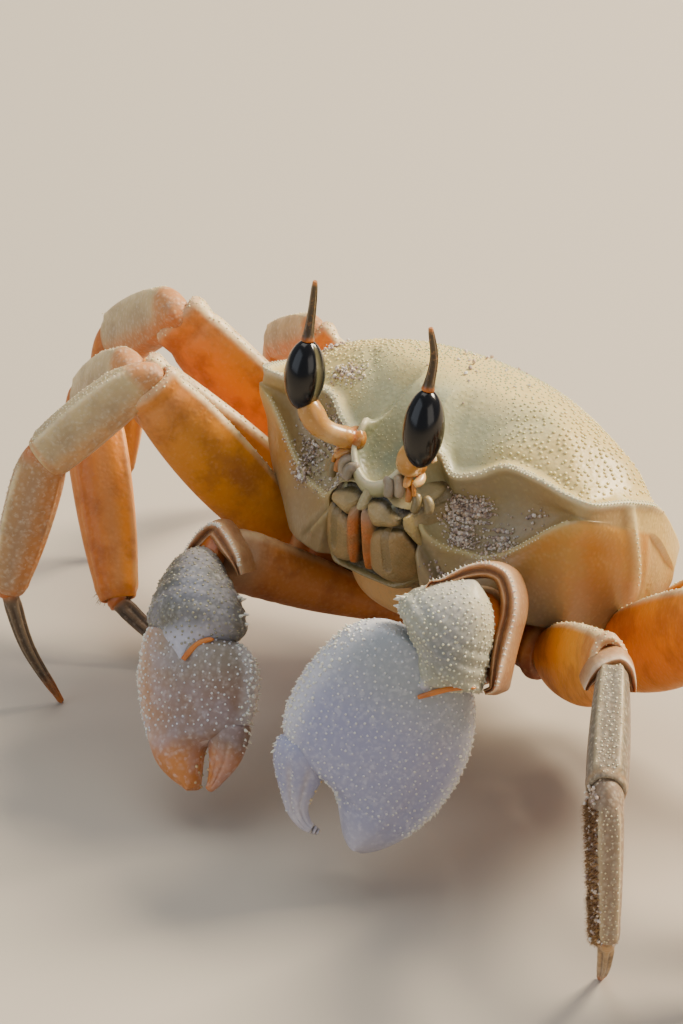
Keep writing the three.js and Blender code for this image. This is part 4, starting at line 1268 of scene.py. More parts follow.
def build_eye(label, side):
    """One eye with its stalk and its horn."""
    base, top = in_shell(mirrored(side, [EYE_BASES[label], EYE_TOP]))
    middle, axis = (base + top) / 2, top - base
    half = float(np.linalg.norm(axis)) / 2
    deselect()
    bpy.ops.mesh.primitive_uv_sphere_add(segments=64, ring_count=40, radius=1, location=(0, 0, 0))
    eye = bpy.context.object
    bpy.ops.object.mode_set(mode="EDIT")
    bpy.ops.mesh.select_all(action="SELECT")
    bpy.ops.transform.resize(value=(EYE_HALF_WIDTH, EYE_HALF_WIDTH, half), center_override=(0, 0, 0))
    bpy.ops.object.mode_set(mode="OBJECT")
    co = coordinates(eye)
    z = co[:, 2] / half
    # the strip of stalk on the inner side stands slightly below the cornea
    angle = np.arctan2(co[:, 1], -side * co[:, 0])
    strip = (1 - rise(np.abs(angle), 0.14, 0.24)) * (1 - rise(z, 0.86, 0.97))
    foot = 1 - rise(z, -0.97, -0.86)
    co[:, :2] *= (1 - 0.05 * np.maximum(strip, foot) + 0.05 * (1 - z * z) * (1 - strip))[:, None]
    move_to(eye, co)
    frame_z = unit(axis)
    frame_x = unit(np.cross(np.array([0, 1.0, 0]), frame_z))
    frame_y = np.cross(frame_z, frame_x)
    move_to(eye, middle + co[:, 0:1] * frame_x + co[:, 1:2] * frame_y + co[:, 2:3] * frame_z)
    paint(eye, blended(len(co), colour("0A090C"),
                       (colour("3A3A42"), (1 - rise(z, -0.98, -0.6)) * 0.6 * (side < 0)),
                       (colour("5F5A40"), strip)))
    finish(eye, f"cornea_{label}_glossy", material("eye"), "eye", f"cornea_{label}")

    path = in_shell(mirrored(side, STALK_PATH))
    length = length_of(path)
    stalk = pulled_limb(in_mm(STALK_ROWS), length, sides=12)
    co = coordinates(stalk)
    s = co[:, 2] / length
    rings = bell(s, 0.13, 0.03) - 0.7 * bell(s, 0.22, 0.025) + 0.5 * bell(s, 0.3, 0.03)
    move_to(stalk, co + normals(stalk) * (0.14 * MM * rings)[:, None])
    paint(stalk, blended(len(co), colour("B58236"), (colour("A06A28"), 1 - rise(s, 0.1, 0.3)),
                         (colour("A8591C"), bell(s, 0.22, 0.035) * 0.9),
                         (colour("E6C48C"), bell(s, 0.5, 0.12) * 0.6)))
    laid(stalk, path, (0, 1, 0.3), length)
    horn_path = in_shell(mirrored(side, [HORN_FOOT, HORN_BEND, HORN_TIP]))
    finish(stalk, f"eyestalk_{label}_skin", material("stalk"), "eyestalk", f"eyestalk_{label}")

    sockets = [bar(mirrored(side, line), *rest) for line, *rest in (
        ([(0.088, -0.125, 0.0), (0.1, -0.115, -0.012), (0.118, -0.11, -0.03)], 0.5, "E2D2A4"),
        ([(0.1, -0.13, -0.055), (0.118, -0.15, -0.07), (0.122, -0.175, -0.08)], 0.55, "D6B078"),
        ([(0.084, -0.15, -0.06), (0.1, -0.172, -0.075), (0.11, -0.19, -0.085)], 0.5, "CF9A58"),
    )]
    obj = joined(f"eye_socket_{label}", sockets)
    finish(obj, f"eye_socket_{label}", material("stalk"), "eyestalk")

    horn_length = length_of(horn_path)
    horn = pulled_limb(in_mm(HORN_ROWS), horn_length, sides=10)
    co = coordinates(horn)
    s = co[:, 2] / horn_length
    angle = np.arctan2(co[:, 0], co[:, 1])
    flutes = np.cos(6 * angle) * rise(s, 0.1, 0.2) * (1 - rise(s, 0.85, 1))
    move_to(horn, co + normals(horn) * (0.035 * MM * flutes)[:, None])
    paint(horn, blended(len(co), colour("4C3A1E"), (colour("B8641C"), 1 - rise(s, 0.05, 0.12)),
                        (colour("33260F"), flutes * -0.5), (colour("B5763F"), rise(s, 0.92, 0.98))))
    laid(horn, horn_path, (0, 1, 0), horn_length)
    finish(horn, f"horn_{label}_tapered", material("horn"), "horn", f"horn_{label}")


# ------------------------------------------------------------------ walking legs
COXA_ROWS = [(-0.05, 0.3, 0.3, 0.2), (0.15, 0.38, 0.38, 0.25), (0.6, 0.38, 0.4, 0.25),
             (0.9, 0.33, 0.38, 0.23), (1, 0.3, 0.36, 0.2)]
MERUS_ROWS = [(-0.02, 0.2, 0.24, 0.13), (0.06, 0.3, 0.33, 0.17), (0.16, 0.38, 0.43, 0.19),
              (0.45, 0.46, 0.52, 0.2), (0.75, 0.44, 0.46, 0.2), (0.92, 0.4, 0.36, 0.21),
              (0.985, 0.38, 0.32, 0.22)]
CARPUS_ROWS = [(-0.19, 0.08, 0.12, 0.1), (-0.14, 0.18, 0.2, 0.15), (-0.04, 0.31, 0.25, 0.19),
               (0.15, 0.37, 0.28, 0.21), (0.45, 0.39, 0.31, 0.24), (0.75, 0.37, 0.33, 0.25),
               (0.95, 0.32, 0.32, 0.24), (1.02, 0.3, 0.3, 0.22)]
PROPODUS_ROWS = [(-0.12, 0.15, 0.15, 0.1), (-0.08, 0.22, 0.22, 0.15), (0, 0.3, 0.28, 0.19),
                 (0.15, 0.36, 0.33, 0.21), (0.6, 0.34, 0.31, 0.19), (0.92, 0.25, 0.23, 0.16),
                 (1, 0.21, 0.19, 0.14)]
DACTYL_ROWS = [(-0.06, 0.07, 0.07, 0.06), (0.0, 0.115, 0.115, 0.1), (0.15, 0.1, 0.1, 0.09),
               (0.5, 0.08, 0.08, 0.07), (0.85, 0.055, 0.055, 0.05), (0.97, 0.045, 0.045, 0.045)]
# Each leg: breadth in mm, joints in shell widths in the standing frame, and how pale its outer half is.
LEGS = {
    "leg1_left": (9.2, [(0.24, 0.02, 0.42), (0.38, -0.02, 0.4), (0.827, -0.322, 0.67), (1.027, -0.584, 0.561),
                        (1.09, -0.647, 0.233), (0.958, -0.5, 0)], 1.0),
    "leg2_left": (10.6, [(0.27, 0.14, 0.37), (0.43, 0.13, 0.35), (0.95, -0.07, 0.73), (1.23, -0.2, 0.56),
                         (1.3, -0.24, 0.2), (1.12, -0.17, 0)], 0.6),
    "leg3_left": (10.2, [(0.26, 0.29, 0.33), (0.43, 0.31, 0.31), (0.97, 0.22, 0.72), (1.25, 0.2, 0.54),
                         (1.33, 0.2, 0.22), (1.2, 0.2, 0)], 0.5),
    "leg4_left": (7, [(0.22, 0.42, 0.3), (0.33, 0.48, 0.29), (0.84, 0.62, 0.6), (1.06, 0.74, 0.46),
                      (1.13, 0.78, 0.2), (1.09, 0.77, 0)], 0.3),
    "leg1_right": (8.8, [(-0.24, 0.02, 0.42), (-0.4, -0.03, 0.41), (-0.637, -0.301, 0.871),
                         (-0.803, -0.469, 0.678), (-0.872, -0.539, 0.314), (-0.787, -0.456, 0)], 0.65),
    "leg2_right": (10.6, [(-0.27, 0.14, 0.37), (-0.43, 0.13, 0.36), (-0.9, -0.08, 0.715), (-1.14, 0.02, 0.51),
                          (-0.86, -0.18, 0.14), (-0.62, -0.12, 0)], 0.1),
    "leg3_right": (10.2, [(-0.26, 0.29, 0.33), (-0.43, 0.31, 0.32), (-0.95, 0.12, 0.79), (-1.24, 0.23, 0.58),
                          (-1.21, 0.17, 0.23), (-1.15, 0.17, 0)], 0.2),
    "leg4_right": (7, [(-0.22, 0.42, 0.3), (-0.33, 0.48, 0.29), (-0.82, 0.5, 0.64), (-1.04, 0.6, 0.5),
                       (-1.09, 0.63, 0.2), (-1.05, 0.62, 0)], 0.1),
}


# The leg with a thick fringe of bristles along its last blade.
FRINGED = "leg1_left"
# Crest of the stiff rim at the fringed leg's knee, in mm across, up and ahead.
KNEE_RIM = [(-3.0, -1.9, 1.3), (-2.5, -0.7, 1.6), (-1.7, 0.4, 1.8), (-0.55, 1.1, 1.8), (0.9, 1.3, 1.6),
            (1.9, 0.35, 1.4), (2.3, -1.2, 1.2), (2.3, -2.2, 1.0)]
# Legs whose last blade is plain orange, and the way its broad face is turned.
ORANGE_LEGS = {"leg2_right": (0.74, 0.67, 0.1), "leg3_right": (0.74, 0.67, 0.3), "leg4_right": (0, 0, 1)}
ORANGE_BLADE = "DE8A16"


def scaled_rows(rows, breadth):
    """Section rows as shares of a leg's breadth turned into metres."""
    return [(s, a * breadth * MM, b * breadth * MM, t * breadth * MM) for s, a, b, t in rows]


def limb_measures(obj, rows, length):
    """For each vertex of a straight limb piece: place along it, height as a share, and angle."""
    co = coordinates(obj)
    s = co[:, 2] / length
    above, below, thick = rows_at(rows, s)
    high = np.where(co[:, 1] > 0, co[:, 1] / np.maximum(above, 1e-6), co[:, 1] / np.maximum(below, 1e-6))
    across = co[:, 0] / np.maximum(thick, 1e-6)
    return co, s, high, np.arctan2(across, high), across


def merus_piece(leg, breadth, line):
    """The broad blade nearest the body, with ripples and a pale upper edge."""
    length = length_of(line)
    rows = scaled_rows(MERUS_ROWS, breadth)
    obj = pulled_limb(rows, length, sides=14, socket=0.12 * breadth * MM)
    co, s, high, _, across = limb_measures(obj, rows, length)
    inside = s < 0.96
    edge = rise(high, 0.8, 0.98)
    ripple = np.sin(co[:, 2] / (0.33 * MM) + 3 * np.abs(across)) * rise(high, -0.2, 0.7) * (1 - edge)
    lift = 0.035 * MM * ripple * inside
    lift += 0.22 * MM * bell(s, 0.955, 0.02) - 0.2 * MM * bell(s, 0.9, 0.018)
    lift += 0.18 * MM * bell(high, 0.97, 0.1) * rise(s, 0.1, 0.3)
    move_to(obj, co + normals(obj) * lift[:, None])
    c = tints()
    paint(obj, blended(
        len(co), np.array(c.leg),
        (colour("C47422"), (1 - rise(high, -0.9, 0.2)) * 0.6),
        (colour("D98A45"), bell(s, 0.9, 0.12) * 0.7),
        (colour("8E5220"),
         bell(s, 0.5, 0.25) * bell(high, 0.25, 0.4) * 0.55 * (leg in ("leg1_right", "leg2_left"))),
        (np.array(c.pale), rise(high, 0.84, 0.97) * 0.9),
        (colour("D9B48A"), bell(s, 0.975, 0.02) * 0.8),
        (colour("9C4A1C"), rise(s, 0.9, 0.92) * (np.hypot(across, high) < 0.8))))
    laid(obj, line, UP, length)
    return finish(obj, f"{leg}_merus_blade", material("leg"), "leg", f"{leg}_merus")


def outer_piece(leg, part, breadth, line, table, shade, lower, pale, ends, broad=UP):
    """A carpus or propodus: two keels along its upper side with a groove between them."""
    length = length_of(line)
    rows = scaled_rows(table, breadth)
    obj = pulled_limb(rows, length, sides=14, socket=0.06 * breadth * MM)
    co, s, high, angle, across = limb_measures(obj, rows, length)
    body = rise(s, 0.02, 0.15) * (1 - rise(s, 0.93, 1.0))
    keels = bell(np.abs(angle), 0.5, 0.14) + 0.7 * bell(np.abs(angle), 2.3, 0.16)
    groove = bell(angle, 0, 0.22) + 0.8 * bell(np.abs(angle), 1.35, 0.3)
    lift = breadth * MM * (0.03 * keels - 0.018 * groove) * body
    lift += 0.07 * MM * bell(s, 0.93, 0.025)
    move_to(obj, co + normals(obj) * lift[:, None])
    paint(obj, blended(
        len(co), colour(shade),
        (colour(lower), (1 - rise(high, -0.5, 0.35)) * (1 - 0.75 * pale)),
        (colour("8C7568"), bell(np.abs(angle), 1.35, 0.35) * 0.35 * body),
        (colour("5E351C"), rise(-across, 0.5, 0.85) * rise(s, 0.02, 0.12) * 0.9 * (leg == FRINGED)
         * (part == "propodus")),
        (np.array(tints().pale),
         keels * rise(high, 0.1, 0.4) * (0.35 if shade == ORANGE_BLADE or leg == FRINGED else 0.85) * body),
        (colour(ends), (1 - rise(s, -0.05, 0.06)) * 0.8 + 0.5 * bell(s, 0.98, 0.02))))
    laid(obj, line, broad, length)
    plain = part == "propodus" and leg in ORANGE_LEGS
    return finish(obj, f"{leg}_{part}_keeled", material("leg" if plain else "pale leg"), "pale_leg",
                  f"{leg}_{part}")


def dactyl_line(heel, foot, breadth):
    """The slightly bent line of a last leg piece, from heel to foot."""
    flat = (foot - heel) * np.array([1, 1, 0])
    outward = flat / max(float(np.linalg.norm(flat)), 1e-9)
    middle = lerp(heel, foot, 0.5) - outward * 0.1 * breadth * MM
    return through([heel, middle, foot], 40)


def dactyl_piece(leg, breadth, line, pale):
    """The thin fluted last piece of a leg."""
    length = length_of(line)
    rows = scaled_rows(DACTYL_ROWS, breadth) + [(1, FOOT_RADIUS * 0.8, FOOT_RADIUS * 0.8, FOOT_RADIUS * 0.8)]
    obj = pulled_limb(rows, length, sides=12)
    co, s, _, angle, _ = limb_measures(obj, rows, length)
    flutes = np.cos(6 * angle) * rise(s, 0.05, 0.15) * (1 - rise(s, 0.8, 0.97))
    move_to(obj, co + normals(obj) * (0.014 * breadth * MM * flutes)[:, None])
    paint(obj, blended(
        len(co), lerp(np.array(tints().tip), colour("A8875C"), pale > 0.9),
        (colour("8F7C60"), rise(flutes, 0.2, 1) * 0.45),
        (colour("382C22"), rise(-flutes, 0.2, 1) * 0.5), (colour("A8601E"), rise(s, 0.7, 0.95)),
        (colour("A8683A"), 1 - rise(s, 0.0, 0.08))))
    laid(obj, line, UP, length)
    co = coordinates(obj)
    co[:, 2] = np.maximum(co[:, 2], 0)
    move_to(obj, co)
    return finish(obj, f"{leg}_dactyl_fluted", material("leg tip"), "leg_tip", f"{leg}_dactyl")


def skin_ball(place, size, ahead, broad=UP):
    """A soft fold of joint skin: a sphere pressed flat along the limb."""
    deselect()
    bpy.ops.mesh.primitive_uv_sphere_add(segments=24, ring_count=16, radius=1, location=(0, 0, 0))
    obj = bpy.context.object
    bpy.ops.object.mode_set(mode="EDIT")
    bpy.ops.mesh.select_all(action="SELECT")
    bpy.ops.transform.resize(value=tuple(size), center_override=(0, 0, 0))
    bpy.ops.object.mode_set(mode="OBJECT")
    co = coordinates(obj)
    folds = 1 + 0.05 * np.sin(co[:, 2] / size[2] * 9)
    co[:, :2] *= folds[:, None]
    ahead = unit(ahead)
    high = unit(broad - ahead * (ahead @ broad))
    move_to(obj, place + co[:, 0:1] * np.cross(high, ahead) + co[:, 1:2] * high + co[:, 2:3] * ahead)
    paint(obj, np.tile(colour("B8621E"), (len(co), 1)))
    return obj


def skin_bar(line, radius):
    """A rounded strip of joint skin along a line of places."""
    length = length_of(line)
    rows = [(0, 0.7 * radius, 0.7 * radius, radius), (0.5, radius, radius, radius),
            (1, 0.6 * radius, 0.6 * radius, radius)]
    obj = pulled_limb(rows, length, sides=8, levels=2)
    laid(obj, line, UP, length)
    paint(obj, np.tile(colour("C4762A"), (len(obj.data.vertices), 1)))
    return obj


# Granules of legs and claws that wait to be made: places, outward ways, sizes and shade.
KEPT_GRANULES = []


def keep_granules(obj, mask, spacing, radius, shade, flat=0.8):
    """Remembers where this piece carries granules, to be made as one mesh with its neighbours'."""
    rng = np.random.default_rng(SEED + len(KEPT_GRANULES))
    co, out = coordinates(obj), normals(obj)
    chosen = spread(co, mask, spacing * MM, rng)
    radii = radius * MM * rng.uniform(0.7, 1.2, len(chosen))
    slid = np.cross(out[chosen], rng.normal(0, 0.1 * MM, (len(chosen), 3)))
    KEPT_GRANULES.append((co[chosen] + slid, out[chosen], np.stack([radii, radii, radii * flat], -1), shade))


def flush_granules(name, material_name, slot):
    """Makes one mesh of all the granules kept so far."""
    places = np.vstack([g[0] for g in KEPT_GRANULES])
    out = np.vstack([g[1] for g in KEPT_GRANULES])
    size = np.vstack([g[2] for g in KEPT_GRANULES])
    shades = np.vstack([np.tile(colour(g[3]), (len(g[0]), 1)) for g in KEPT_GRANULES])
    KEPT_GRANULES.clear()
    obj = stamped(name, small("dome"), places, out, size)
    paint(obj, np.repeat(shades, len(small("dome")[0]), axis=0))
    finish(obj, name, material(material_name), slot)


def build_leg(leg):
    """One walking leg, from its ring at the body to its tip, with the skin in its joints."""
    breadth, joints, pale = LEGS[leg]
    root, hip, knee, ankle, heel, foot = standing(joints)
    rows = scaled_rows(COXA_ROWS, breadth)
    length = length_of([root, hip])
    coxa = pulled_limb(rows, length, sides=12)
    co, s, high, _, _ = limb_measures(coxa, rows, length)
    lift = 0.2 * MM * bell(s, 0.85, 0.08) - 0.2 * MM * bell(s, 0.65, 0.06)
    move_to(coxa, co + normals(coxa) * lift[:, None])
    paint(coxa, blended(len(co), colour("A85A1C"), (colour("CC9A60"), bell(s, 0.85, 0.08) * 0.8),
                        (colour("6E3410"), 1 - rise(high, -0.6, 0.4))))
    laid(coxa, [root, hip], UP, length)
    finish(coxa, f"{leg}_coxa_ring", material("leg"), "leg", f"{leg}_coxa")

    merus = merus_piece(leg, breadth, np.array([hip, knee]))
    # The fringed leg's carpus is grey brown, darker than the others: partly its own colour, partly painted
    # shade.
    shade = "C4AC7C" if pale < 0.9 else "6C6252"
    # The fringed leg's carpus starts inside a stiff rim, so it has no bulge behind the knee.
    table = CARPUS_ROWS
    if leg == FRINGED:
        table = [(0.04 + (s + 0.19) * 0.32 if s < 0.15 else s, *rest) for s, *rest in CARPUS_ROWS]
    carpus = outer_piece(leg, "carpus", breadth, np.array([knee, ankle]), table, shade, "C8742A", pale,
                         "C47A3C" if pale < 0.9 else "B08A5A")
    if leg == FRINGED:
        joint_rim(f"{leg}_knee_rim", "leg", knee, KNEE_RIM, (-0.4, 1.2, -2.4))
    shade = "A88054" if pale < 0.9 else "86705A"
    shade = ORANGE_BLADE if leg in ORANGE_LEGS else shade
    broad = ORANGE_LEGS.get(leg, UP)
    propodus = outer_piece(leg, "propodus", breadth, np.array([ankle, heel]), PROPODUS_ROWS, shade,
                           "C26C1C", pale, "BF6E34" if pale < 0.9 else shade, broad)
    dactyl_piece(leg, breadth, dactyl_line(heel, foot, breadth), pale)

    b = breadth * MM
    skins = [
        skin_ball(hip, (0.15 * b, 0.24 * b, 0.2 * b), knee - hip),
        skin_ball(knee, (0.16 * b, 0.22 * b, 0.16 * b), knee - hip),
        skin_ball(ankle, (0.17 * b, 0.22 * b, 0.12 * b), heel - ankle),
        skin_ball(heel, (0.1 * b, 0.14 * b, 0.1 * b), foot - heel),
    ]
    obj = joined(f"{leg}_joint_skin", skins)
    if leg == FRINGED:
        paint_over(obj, colour("A8875C"))
    finish(obj, f"{leg}_joint_skin", material("membrane"), "leg")

    for piece, where, spacing, radius, code in (
            (merus, 0.9, 0.42, 0.12, "E6D2A0"), (carpus, 0.8, 0.42, 0.1, "E9DAB4"),
            (propodus, 0.8, 0.42, 0.1, "D8C49C")):
        if piece is propodus and leg in ORANGE_LEGS:
            continue
        co = coordinates(piece)
        along = {merus: (hip, knee), carpus: (knee, ankle), propodus: (ankle, heel)}[piece]
        axis = unit(along[1] - along[0])
        top = unit(UP - axis * (axis @ UP))
        out = normals(piece)
        facing = out @ top
        s = ((co - along[0]) @ axis) / np.linalg.norm(along[1] - along[0])
        mask = rise(facing, where, min(where + 0.3, 0.99)) * (s > 0.05) * (s < 0.99)
        rim = bell(s, 0.98, 0.012) * (facing > -0.5) * (piece is merus)
        keep_granules(piece, np.clip(mask * 0.8 + rim, 0, 1), spacing, radius, code)
    return propodus, (ankle, heel)


# ------------------------------------------------------------------ joint rims
# Axes of a joint rim seen from in front of it: across, up and ahead.
RIM_ACROSS = np.array([0.743, 0.669, 0.0])
RIM_UP = np.array([-0.324, 0.36, 0.875])
RIM_AHEAD = np.array([0.585, -0.65, 0.484])
RIM_STEPS = 100
# How full the rim is at its two ends, as a share of its middle.
RIM_ENDS = (0.3, 0.35)
# Section of a joint rim: mm out from the crest, mm ahead of it and share of the way back.
RIM_SECTION = [(-0.3, -0.3, 1.2), (0.25, -0.3, 0.75), (0.2, -0.25, 0.3), (0, 0.08, 0), (-0.22, 0.1, 0),
               (-0.45, -0.2, 0), (-0.7, -0.6, 0), (-0.9, -0.35, 0), (-1.1, -0.15, 0), (-1.32, -0.45, 0),
               (-1.5, -1.4, 0), (-1.6, -2.4, 0.2), (-1.2, -1.5, 0.9)]
# Colours round the section; the darker ones in its grooves are partly the rim's own colour, partly painted
# shade.
RIM_SHADES = ("A0744C", "A87E58", "B08A66", "D2BA9E", "B8906E", "A07450", "946848", "A67C58", "BC9470",
              "A87648", "945C30", "8E4A1E", "A0744C")


def joint_rim(name, slot, place, path, back):
    """A stiff double rim arching round a joint; path and back are mm across, up and ahead.

    Gives its crest points and the ways they face.
    """
    axes = np.stack([RIM_ACROSS, RIM_UP, RIM_AHEAD])
    crest = through(path, RIM_STEPS)
    along = np.gradient(crest, axis=0)
    out = unit(np.stack([-along[:, 1], along[:, 0], np.zeros(len(along))], -1))
    t = np.linspace(0, 1, RIM_STEPS)
    full = lerp(RIM_ENDS[0], 1, rise(t, 0, 0.3)) * lerp(1, RIM_ENDS[1], rise(t, 0.7, 1))
    section = through(RIM_SECTION, 4 * len(RIM_SECTION), closed=True)
    local = (crest[:, None] + out[:, None] * (section[None, :, :1] * full[:, None, None])
             + np.array([0, 0, 1]) * section[None, :, 1:2] + np.asarray(back) * section[None, :, 2:3])
    co = place + MM * local.reshape(-1, 3) @ axes
    index = np.arange(len(co)).reshape(RIM_STEPS, -1)
    beside = np.roll(index, -1, axis=1)
    quads = np.stack([index[:-1], index[1:], beside[1:], beside[:-1]], -1).reshape(-1, 4).tolist()
    faces = [tuple(f) for f in quads] + [tuple(index[0].tolist()), tuple(index[-1].tolist())]
    obj = new_object(name, co, faces)
    activate(obj)
    bpy.ops.object.mode_set(mode="EDIT")
    bpy.ops.mesh.select_all(action="SELECT")
    bpy.ops.mesh.normals_make_consistent(inside=False)
    bpy.ops.object.mode_set(mode="OBJECT")
    shades = through([colour(code) for code in RIM_SHADES], section.shape[0], closed=True)
    paint(obj, np.tile(np.clip(shades, 0, 1), (RIM_STEPS, 1)))
    finish(obj, name, material("leg"), slot)
    return place + MM * crest @ axes, out @ axes


# ------------------------------------------------------------------ bristles
def bristles(name, piece, line, side_way, count, reach, rng):
    """A fringe of bristles along one edge of a leg piece, leaning towards its tip."""
    co, out = coordinates(piece), normals(piece)
    axis = unit(line[1] - line[0])
    s = ((co - line[0]) @ axis) / np.linalg.norm(line[1] - line[0])
    facing = out @ unit(side_way)
    weight = rise(facing, 0.55, 0.95) * (s > reach[0]) * (s < reach[1])
    picked = rng.choice(len(co), size=count, p=weight / weight.sum())
    lean = unit(out[picked] + axis * rng.uniform(0.3, 0.9, (count, 1)) + rng.normal(0, 0.22, (count, 3)))
    size = sizes().hair * rng.uniform(0.5, 1.1, count)
    obj = stamped(name, small("hair"), co[picked] - out[picked] * 0.05 * MM, lean, size,
                  rng.uniform(0, 6.3, count))
    shades = np.array([colour(c) for c in ("8A6238", "A27C4C", "6A4626", "BC9664")])[
        rng.integers(0, 4, count)]
    paint(obj, np.repeat(shades, len(small("hair")[0]), axis=0))
    uv = obj.data.uv_layers.new(name="OFBake")
    corners = np.empty(len(obj.data.loops), int)
    obj.data.loops.foreach_get("vertex_index", corners)
    hair = corners // len(small("hair")[0])
    along = s[picked][hair]
    around = (out[picked] @ np.cross(axis, unit(side_way)))[hair]
    patch = (small("hair")[0][corners % len(small("hair")[0])][:, [0, 2]] - 0.5) * 0.003
    uv.data.foreach_set("uv", (np.stack([0.1 + 0.8 * along, 0.5 + 0.4 * around], -1) + patch).ravel())
    finish(obj, name, material("hair"), "pale_leg")


# ------------------------------------------------------------------ claws
PALM_START = -0.2
PALM_WAIST = (0.25, 0.85)
CLAW_MERUS_ROWS = [(-0.36, 0.14, 0.14, 0.12), (-0.26, 0.2, 0.2, 0.17), (-0.1, 0.25, 0.25, 0.2),
                   (0.05, 0.31, 0.31, 0.25), (0.3, 0.4, 0.4, 0.3), (0.6, 0.45, 0.44, 0.33),
                   (0.76, 0.47, 0.46, 0.35), (0.86, 0.44, 0.43, 0.33), (0.94, 0.34, 0.32, 0.25)]
# The palm, carpus and bead colours of the claws are their own pale colours deepened by painted shade.
CLAWS = {
    "left": dict(
        side=1, outer_face=(0.62, -0.72, 0.3), shoulder=(0.2, -0.02, 0.36), elbow=(0.4075, -0.291, 0.591),
        carpus_start=(0.4, -0.285, 0.64), carpus_end=(0.325, -0.395, 0.475), wrist=(0.35, -0.37, 0.455),
        tip=(0.27, -0.59, 0.085), merus_breadth=11.5, carpus_breadth=11.5, palm_half=4.4,
        carpus=[(-0.27, 0.215, -0.17, 0.06), (-0.24, 0.25, -0.09, 0.14), (-0.18, 0.31, 0.045, 0.22),
                (-0.07, 0.41, 0.15, 0.3), (0.06, 0.51, 0.235, 0.35), (0.25, 0.61, 0.32, 0.39),
                (0.4, 0.66, 0.385, 0.4), (0.5, 0.59, 0.42, 0.4), (0.58, 0.46, 0.455, 0.38),
                (0.65, 0.35, 0.475, 0.36), (0.7, 0.29, 0.43, 0.33), (0.76, 0.22, 0.33, 0.29),
                (0.87, 0.15, 0.22, 0.23), (1.0, 0.1, 0.12, 0.17), (1.12, 0.07, 0.045, 0.11),
                (1.22, 0.05, -0.03, 0.05)],
        rim=[(-5.61, 2.55, 2.4), (-5.08, 3.26, 2.2), (-4.09, 3.44, 2.0), (-2.83, 4.06, 1.8),
             (-1.58, 4.7, 1.6), (-0.32, 5.05, 1.5), (0.94, 5.09, 1.5), (2.01, 4.78, 1.5), (2.9, 4.16, 1.5),
             (3.44, 3.09, 1.5), (3.8, 1.47, 1.5), (3.71, -0.32, 1.5), (3.26, -2.12, 1.5),
             (2.82, -3.73, 1.5), (2.37, -5.52, 1.5), (2.01, -7.13, 1.3), (1.65, -8.2, 1.0),
             (0.75, -8.66, 0.6)],
        rim_back=(1.5, -0.1, -3.6),
        web=[(0.67, -0.4), (0.73, -0.3), (0.82, -0.2), (0.96, -0.1), (1.08, -0.02)],
        carpus_shade="A3A28E", bead_shade="D8D2B6",
        palm=[(-0.2, 0.17, -0.03), (-0.17, 0.205, 0.02), (-0.08, 0.245, 0.08), (0.02, 0.262, 0.11),
              (0.15, 0.277, 0.13), (0.3, 0.287, 0.145), (0.45, 0.282, 0.145), (0.58, 0.266, 0.138),
              (0.66, 0.22, 0.126), (0.7, 0.13, 0.12), (0.735, 0.09, 0.112), (0.8, 0.068, 0.098),
              (0.87, 0.046, 0.076), (0.93, 0.026, 0.05), (0.955, 0.008, 0.03)],
        finger=[(0.6, 0.2, 3.3), (0.7, 0.187, 3.1), (0.82, 0.168, 2.2), (0.92, 0.145, 1.35),
                (0.975, 0.11, 0.85), (0.98, 0.076, 0.35)],
        palm_shade="9698B4", upper_shade="989E9E", tip_shade="B4B0BC", tip_from=0.72),
    "right": dict(
        side=-1, outer_face=(0.25, -0.92, 0.3), shoulder=(-0.2, -0.02, 0.33), elbow=(-0.425, -0.31, 0.5),
        carpus_start=(-0.4, -0.3, 0.505), carpus_end=(-0.275, -0.49, 0.37), wrist=(-0.263, -0.495, 0.37),
        tip=(-0.15, -0.625, 0.085), merus_breadth=8, carpus_breadth=10, palm_half=3.1,
        carpus=[(-0.01, -0.02, 0.2, 0.08), (0.03, 0.03, 0.3, 0.15), (0.1, 0.1, 0.385, 0.22),
                (0.2, 0.18, 0.46, 0.29), (0.35, 0.29, 0.53, 0.35), (0.5, 0.42, 0.57, 0.39),
                (0.65, 0.5, 0.61, 0.4), (0.76, 0.555, 0.61, 0.38), (0.84, 0.56, 0.53, 0.34),
                (0.885, 0.5, 0.49, 0.3), (0.93, 0.32, 0.455, 0.26), (0.99, 0.17, 0.35, 0.21),
                (1.06, 0.05, 0.25, 0.15), (1.15, -0.05, 0.14, 0.08)],
        rim=[(-3.97, -1.37, 0.2), (-3.54, -0.18, 0.4), (-3.0, 0.89, 0.7), (-2.14, 1.97, 1.1),
             (-1.06, 2.83, 1.6), (-0.1, 2.83, 2.3), (0.55, 2.18, 3.0), (1.3, 1.11, 3.7), (2.05, -0.29, 4.3),
             (2.4, -1.5, 4.6), (2.65, -2.6, 4.4)],
        rim_back=(1.5, 0.4, -3.4),
        web=[(0.92, 0.3), (0.93, 0.2), (0.97, 0.1), (1.04, 0.02), (1.13, -0.05)],
        carpus_shade="625E50", bead_shade="928E7C",
        palm=[(-0.17, -0.09, 0.13), (-0.13, -0.02, 0.148), (-0.06, 0.09, 0.158), (0.02, 0.125, 0.165),
              (0.17, 0.145, 0.17), (0.35, 0.138, 0.163), (0.5, 0.125, 0.152), (0.6, 0.1, 0.14),
              (0.65, 0.012, 0.134), (0.72, 0.0, 0.125), (0.81, -0.004, 0.11), (0.9, -0.008, 0.078),
              (0.96, -0.012, 0.042), (0.98, -0.016, 0.03)],
        finger=[(0.54, 0.068, 2.6), (0.65, 0.064, 2.3), (0.76, 0.056, 2.0), (0.87, 0.04, 1.5),
                (0.95, 0.025, 0.9), (0.985, 0.015, 0.45)],
        palm_shade="866B5B", upper_shade="80796A", tip_shade="C07A3C", tip_from=0.56),
}


